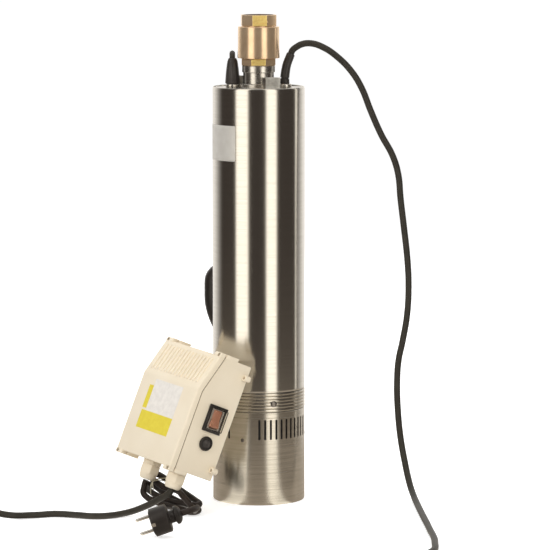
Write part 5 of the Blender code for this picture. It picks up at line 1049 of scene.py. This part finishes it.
SWITCH_AT = shifted(BOX_WIDE / 2, -0.0294, 0.0806) @ SIDEWAYS
RESET_AT = shifted(BOX_WIDE / 2, -0.0305, 0.046) @ SIDEWAYS
GLANDS = (-0.0285, 0.036)
GLAND_DEPTH = 0.035
WALL_CUT = 0.012
bm = block((0.0306, 0.0221, WALL_CUT), SWITCH_AT)
rod(0.0081, WALL_CUT, RESET_AT, 40, bm)
for x, level in EARS:
    rod(EAR_HOLE, EAR_DEEP + 0.0010, shifted(x, -EAR_DEEP / 2, level) @ DEPTHWISE, 24, bm)
for x in GLANDS:
    rod(0.0082, WALL_CUT, shifted(x, -GLAND_DEPTH, 0), 40, bm)
carve(base, leaned(bm))
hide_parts("box_base")

# Cover: a rounded tray that closes the case on a dark gasket, bent back in its upper third. The
# slope carries upright cooling ribs, and a sunk screw sits at each corner boss.
tray = face_line(0, 0, BOX_HIGH) + face_line(COVER_RIM, 0, BOX_HIGH)[::-1]
tray = slab(-BOX_WIDE / 2, BOX_WIDE / 2, tray, 0.0026, square=(3, 4, 5), segments=4)
cover = finished("box_lid", leaned(tray), IVORY)
carve(cover, leaned(bosses(0, COVER_RIM)), "UNION")
room = (face_line(SHELL, SHELL, BOX_HIGH - SHELL)
        + face_line(COVER_RIM + SHELL, SHELL, BOX_HIGH - SHELL)[::-1])
carve(cover, leaned(slab(-INNER, INNER, room)))
RIB_FOOT, RIB_HEAD = BEND_AT + 0.0060, BOX_HIGH - 0.0060
RIB_PROUD, RIB_RUN_OUT = 0.0016, 0.0030
RIB_HALF, RIB_PITCH = 0.0020, 0.008
RIBS_ASIDE = 7
rib = [face_line(-RIB_PROUD, 0, RIB_HEAD)[2], face_line(-RIB_PROUD, 0, RIB_FOOT + RIB_RUN_OUT)[2],
       face_line(SHELL / 2, 0, RIB_FOOT)[2], face_line(SHELL / 2, 0, RIB_HEAD)[2]]
bm = bmesh.new()
for step in range(-RIBS_ASIDE, RIBS_ASIDE + 1):
    slab(step * RIB_PITCH - RIB_HALF, step * RIB_PITCH + RIB_HALF, rib, 0.0009, bm=bm)
carve(cover, leaned(bm), "UNION")
SEAT_INWARD, SEAT_OUT = 0.0046, 0.0012
SEAT_HOLE, SEAT_DEEP = 0.0027, 0.0045
seats = []
for level in (-SEAT_OUT, BOX_HIGH + SEAT_OUT):
    depth = face_line(0, 0, level)[2][0] if level > BEND_AT else -BOX_DEEP
    seats += [shifted(side * (BOX_WIDE / 2 - SEAT_INWARD), depth, level) @ DEPTHWISE for side in (-1, 1)]
bm = bmesh.new()
for at in seats:
    rod(SEAT_HOLE, 2 * SEAT_DEEP, at, 32, bm)
carve(cover, leaned(bm))
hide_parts("box_cover")
sunk = [BOX_PLACE @ at @ shifted(0, 0, 0.0002 - SEAT_DEEP) for at in seats]
screws("cover_screws", sunk, 0.0025, 0.0012, 0.0003)
GASKET_RUBBER = finish("seam gasket rubber", (0.230, 0.160, 0.095), (0.170, 0.115, 0.068), roughness=0.8,
                       specular_ior_level=0.15)

# Front labels: a bare white one, a yellow one below it and a narrow yellow one at its left, as
# thin sheets on the flat of the cover.
LABEL_WHITE = finish("white label", (0.86, 0.81, 0.745), (0.78, 0.73, 0.67), roughness=0.5, patch=140)
LABEL_YELLOW = finish("yellow label", (0.80, 0.66, 0.055), (0.76, 0.61, 0.045), roughness=0.45, patch=140)
LABEL_FACE, LABEL_BACK = -BOX_DEEP - 0.00018, -BOX_DEEP + 0.0002
LABELS = {"white_label": ((-0.0318, 0.0362), (0.0621, 0.1073), LABEL_WHITE, "white_plastic"),
          "yellow_label": ((-0.0408, 0.0362), (0.0367, 0.0620), LABEL_YELLOW, "ivory_plastic"),
          "narrow_label": ((-0.0418, -0.0320), (0.0650, 0.0975), LABEL_YELLOW, "ivory_plastic")}
for title, (across, (low, high), material, slot) in LABELS.items():
    sheet = [(LABEL_FACE, low), (LABEL_FACE, high), (LABEL_BACK, high), (LABEL_BACK, low)]
    finished(title, leaned(slab(*across, sheet)), material)

# Rocker switch in the box's side: a black bezel with a brown rocker under a clear splash boot
# whose milky foot is clamped on the bezel.
BEZEL_FACE = 0.0025
BOOT_FOOT = BEZEL_FACE + 0.00012
ROCKER_BROWN = finish("brown rocker", (0.50, 0.235, 0.155), (0.44, 0.195, 0.125), roughness=0.36, patch=120)
CLEAR = finish("clear soft plastic", (0.92, 0.91, 0.89), (0.90, 0.88, 0.85), roughness=0.07, spread=0.03,
               bump=0.05, Transmission_Weight=1.0, IOR=1.15)
MILKY = finish("milky boot rim", (0.50, 0.46, 0.42), (0.38, 0.345, 0.31), roughness=0.3, patch=220)


def at_switch(size, out):
    """A block on the switch's axis, its middle so far out of the box's side."""
    return block(size, SWITCH_AT @ shifted(0, 0, out))


frame_block = soften(at_switch((0.0374, 0.0305, BEZEL_FACE), BEZEL_FACE / 2 + 0.0001), 0.0008)
bezel = finished("switch_bezel", leaned(frame_block), BLACK_MOULDING)
carve(bezel, leaned(at_switch((0.0303, 0.0218, 0.0190), -0.0087)), "UNION")
carve(bezel, leaned(at_switch((0.0262, 0.0142, 0.0180), -0.0020)))
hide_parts("switch_housing")
TILT = math.radians(10)
ROCKER_RISE = 0.0045
ROCKER_LONG, ROCKER_HALF = 0.01275, 0.00675
tip = ROCKER_RISE + ROCKER_LONG * math.tan(TILT)
profile = [(-ROCKER_RISE * 1.6, 0.0), (-ROCKER_RISE, ROCKER_LONG), (0.0, ROCKER_LONG),
           (tip, ROCKER_LONG - 0.0007), (ROCKER_RISE, 0.0), (tip, 0.0007 - ROCKER_LONG),
           (0.0, -ROCKER_LONG), (-ROCKER_RISE, -ROCKER_LONG)]
bm = slab(-ROCKER_HALF, ROCKER_HALF, profile, 0.0007)
PIVOT = shifted(BOX_WIDE / 2 + 0.00002 + BEZEL_FACE - ROCKER_RISE, -0.0294, 0.0806)
FACING_OUT = Matrix.Rotation(-math.pi / 2, 4, "Z")
bmesh.ops.transform(bm, matrix=PIVOT @ Matrix.Rotation(-TILT, 4, "Y") @ FACING_OUT, verts=bm.verts)
rocker = finished("brown_rocker", leaned(bm), ROCKER_BROWN, body="rocker")
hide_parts("switch_rocker")
dome = soften(at_switch((0.0305, 0.0220, 0.0090), BOOT_FOOT + 0.0045), 0.0014)
splash = finished("clear_boot", leaned(dome), CLEAR)
carve(splash, leaned(soften(at_switch((0.0281, 0.0196, 0.0096), BOOT_FOOT + 0.0030), 0.0009, 2)))
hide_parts("switch_boot")
bm = at_switch((0.0280, 0.0195, 0.0005), BOOT_FOOT + 0.0002)
rim = finished("boot_rim", leaned(bm), MILKY)
carve(rim, leaned(at_switch((0.0262, 0.0146, 0.02), 0)))

# Overload reset under the switch: a round black collar pushed into the box's side, and a
# rubber-covered button in it that springs back when pressed.
COLLAR_BORE = 0.0072
collar = [(COLLAR_BORE, 0.0001), (0.0100, 0.0001), (0.0098, 0.0035), (COLLAR_BORE, 0.0035)]
barb = [(COLLAR_BORE, -0.020), (COLLAR_BORE, 0.0002), (0.0079, 0.0002), (0.0079, -0.020)]
bm = spun(eased(collar, 0.0006), 64, RESET_AT, closed=True)
spun(barb, 64, RESET_AT, closed=True, bm=bm)
finished("reset_collar", leaned(bm), BLACK_MOULDING)
cap = [(0.0, 0.0055), (0.0022, 0.00548), (0.0028, 0.0058), (0.0034, 0.0058), (0.0040, 0.0053),
       (0.0052, 0.0048), (0.0062, 0.0038), (0.0067, 0.0026), (0.0067, 0.0), (0.0, 0.0)]
reset = finished("reset_cap", leaned(spun(cap, 64, RESET_AT)), BOOT_RUBBER, body="reset")
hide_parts("reset_button")

# Cable glands under the box: an ivory hexagon flange against the case and a domed hexagon nut
# that squeezes the seal on the cord.
HEXAGON = 0.012 / math.cos(math.pi / 6)
GLAND_BORE = 0.0047
FLANGE_HIGH, NUT_HIGH = 0.0054, 0.0126
gland_sleeve = [(GLAND_BORE, -0.0100), (GLAND_BORE, 0.0150), (0.0080, 0.0150), (0.0080, -0.0100)]
dome = [(0.0, 0.0150), (0.0116, 0.0150), (0.0117, 0.0205), (0.0112, 0.0235), (0.0100, 0.0256),
        (0.0084, 0.0267), (0.0, 0.0267)]
for index, x in enumerate(GLANDS, start=1):
    down = shifted(x, -GLAND_DEPTH, 0) @ Matrix.Rotation(math.pi, 4, "X")
    flange = soften(rod(HEXAGON, FLANGE_HIGH, down @ shifted(0, 0, 0.0028), 6), 0.0009)
    body = finished(f"gland_flange_{index}", leaned(flange), IVORY)
    carve(body, leaned(spun(gland_sleeve, 48, down, closed=True)), "UNION")
    carve(body, leaned(rod(GLAND_BORE, 0.05, down, 40)))
    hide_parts(f"gland_body_{index}")
    hexagon = soften(rod(HEXAGON, NUT_HIGH, down @ shifted(0, 0, 0.0119), 6), 0.0008)
    nut = finished(f"gland_cap_{index}", leaned(hexagon), IVORY)
    carve(nut, leaned(spun(dome, 64, down)), "UNION")
    carve(nut, leaned(rod(GLAND_BORE, 0.08, down, 40)))
    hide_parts(f"gland_nut_{index}")

# Parts inside the pump and the box: motor, pump stages, shaft, seals, capacitor and terminals keep
# their shapes and get materials of their own, as do the two switch parts behind the box's wall.
MOTOR_CAST = finish("cast motor grey", (0.34, 0.345, 0.35), (0.27, 0.275, 0.28), roughness=0.55, bump=0.5,
                    Metallic=0.6)
LAMINATION = finish("varnished lamination", (0.20, 0.19, 0.18), (0.15, 0.14, 0.13), roughness=0.45, patch=12,
                    grain=80, stretch=(1, 1, 30), Metallic=0.8)
WINDING = finish("enamelled copper", (0.62, 0.26, 0.11), (0.48, 0.19, 0.08), roughness=0.32, patch=160,
                 grain=1500, bump=0.6, Metallic=0.9)
STAGE_PLASTIC = finish("stage plastic", (0.085, 0.09, 0.095), (0.06, 0.065, 0.07), roughness=0.4, bump=0.2)
BEARING_STEEL = finish("bearing steel", (0.60, 0.59, 0.58), (0.52, 0.51, 0.50), roughness=0.18, patch=200,
                       Metallic=1.0)
SHAFT_STEEL = finish("ground shaft steel", (0.66, 0.65, 0.63), (0.58, 0.57, 0.55), roughness=0.16, patch=20,
                     grain=90, stretch=(1, 1, 40), Metallic=1.0)
SEAL_RUBBER = finish("black seal rubber", (0.020, 0.019, 0.018), (0.032, 0.030, 0.028), roughness=0.55)
WHITE_MOULDING = finish("white moulding", (0.80, 0.79, 0.76), (0.74, 0.73, 0.70), roughness=0.38)
CARRIED = [
    (MOTOR_CAST, ("lower_motor_cover", "motor_top_cover", "seal_housing")),
    (STEEL, ("motor_can", "suction_plate")),
    (LAMINATION, ("stator_core", "rotor_core")),
    (WINDING, ("stator_winding",)),
    (STAGE_PLASTIC, ("diffuser_1", "diffuser_2", "diffuser_3", "impeller_1", "impeller_2", "impeller_3")),
    (BEARING_STEEL, ("lower_bearing", "upper_bearing", "shaft_nut")),
    (SHAFT_STEEL, ("pump_shaft",)),
    (SEAL_RUBBER, ("mechanical_seal", "sleeve_o_ring", "poppet_seal")),
    (GASKET_RUBBER, ("cover_gasket",)),
    (WHITE_MOULDING, ("valve_poppet", "capacitor", "terminal_block")),
    (BLACK_MOULDING, ("overload_protector",)),
]
for material, names in CARRIED:
    for name in names:
        for place in bpy.data.objects[name].material_slots:
            place.material = material
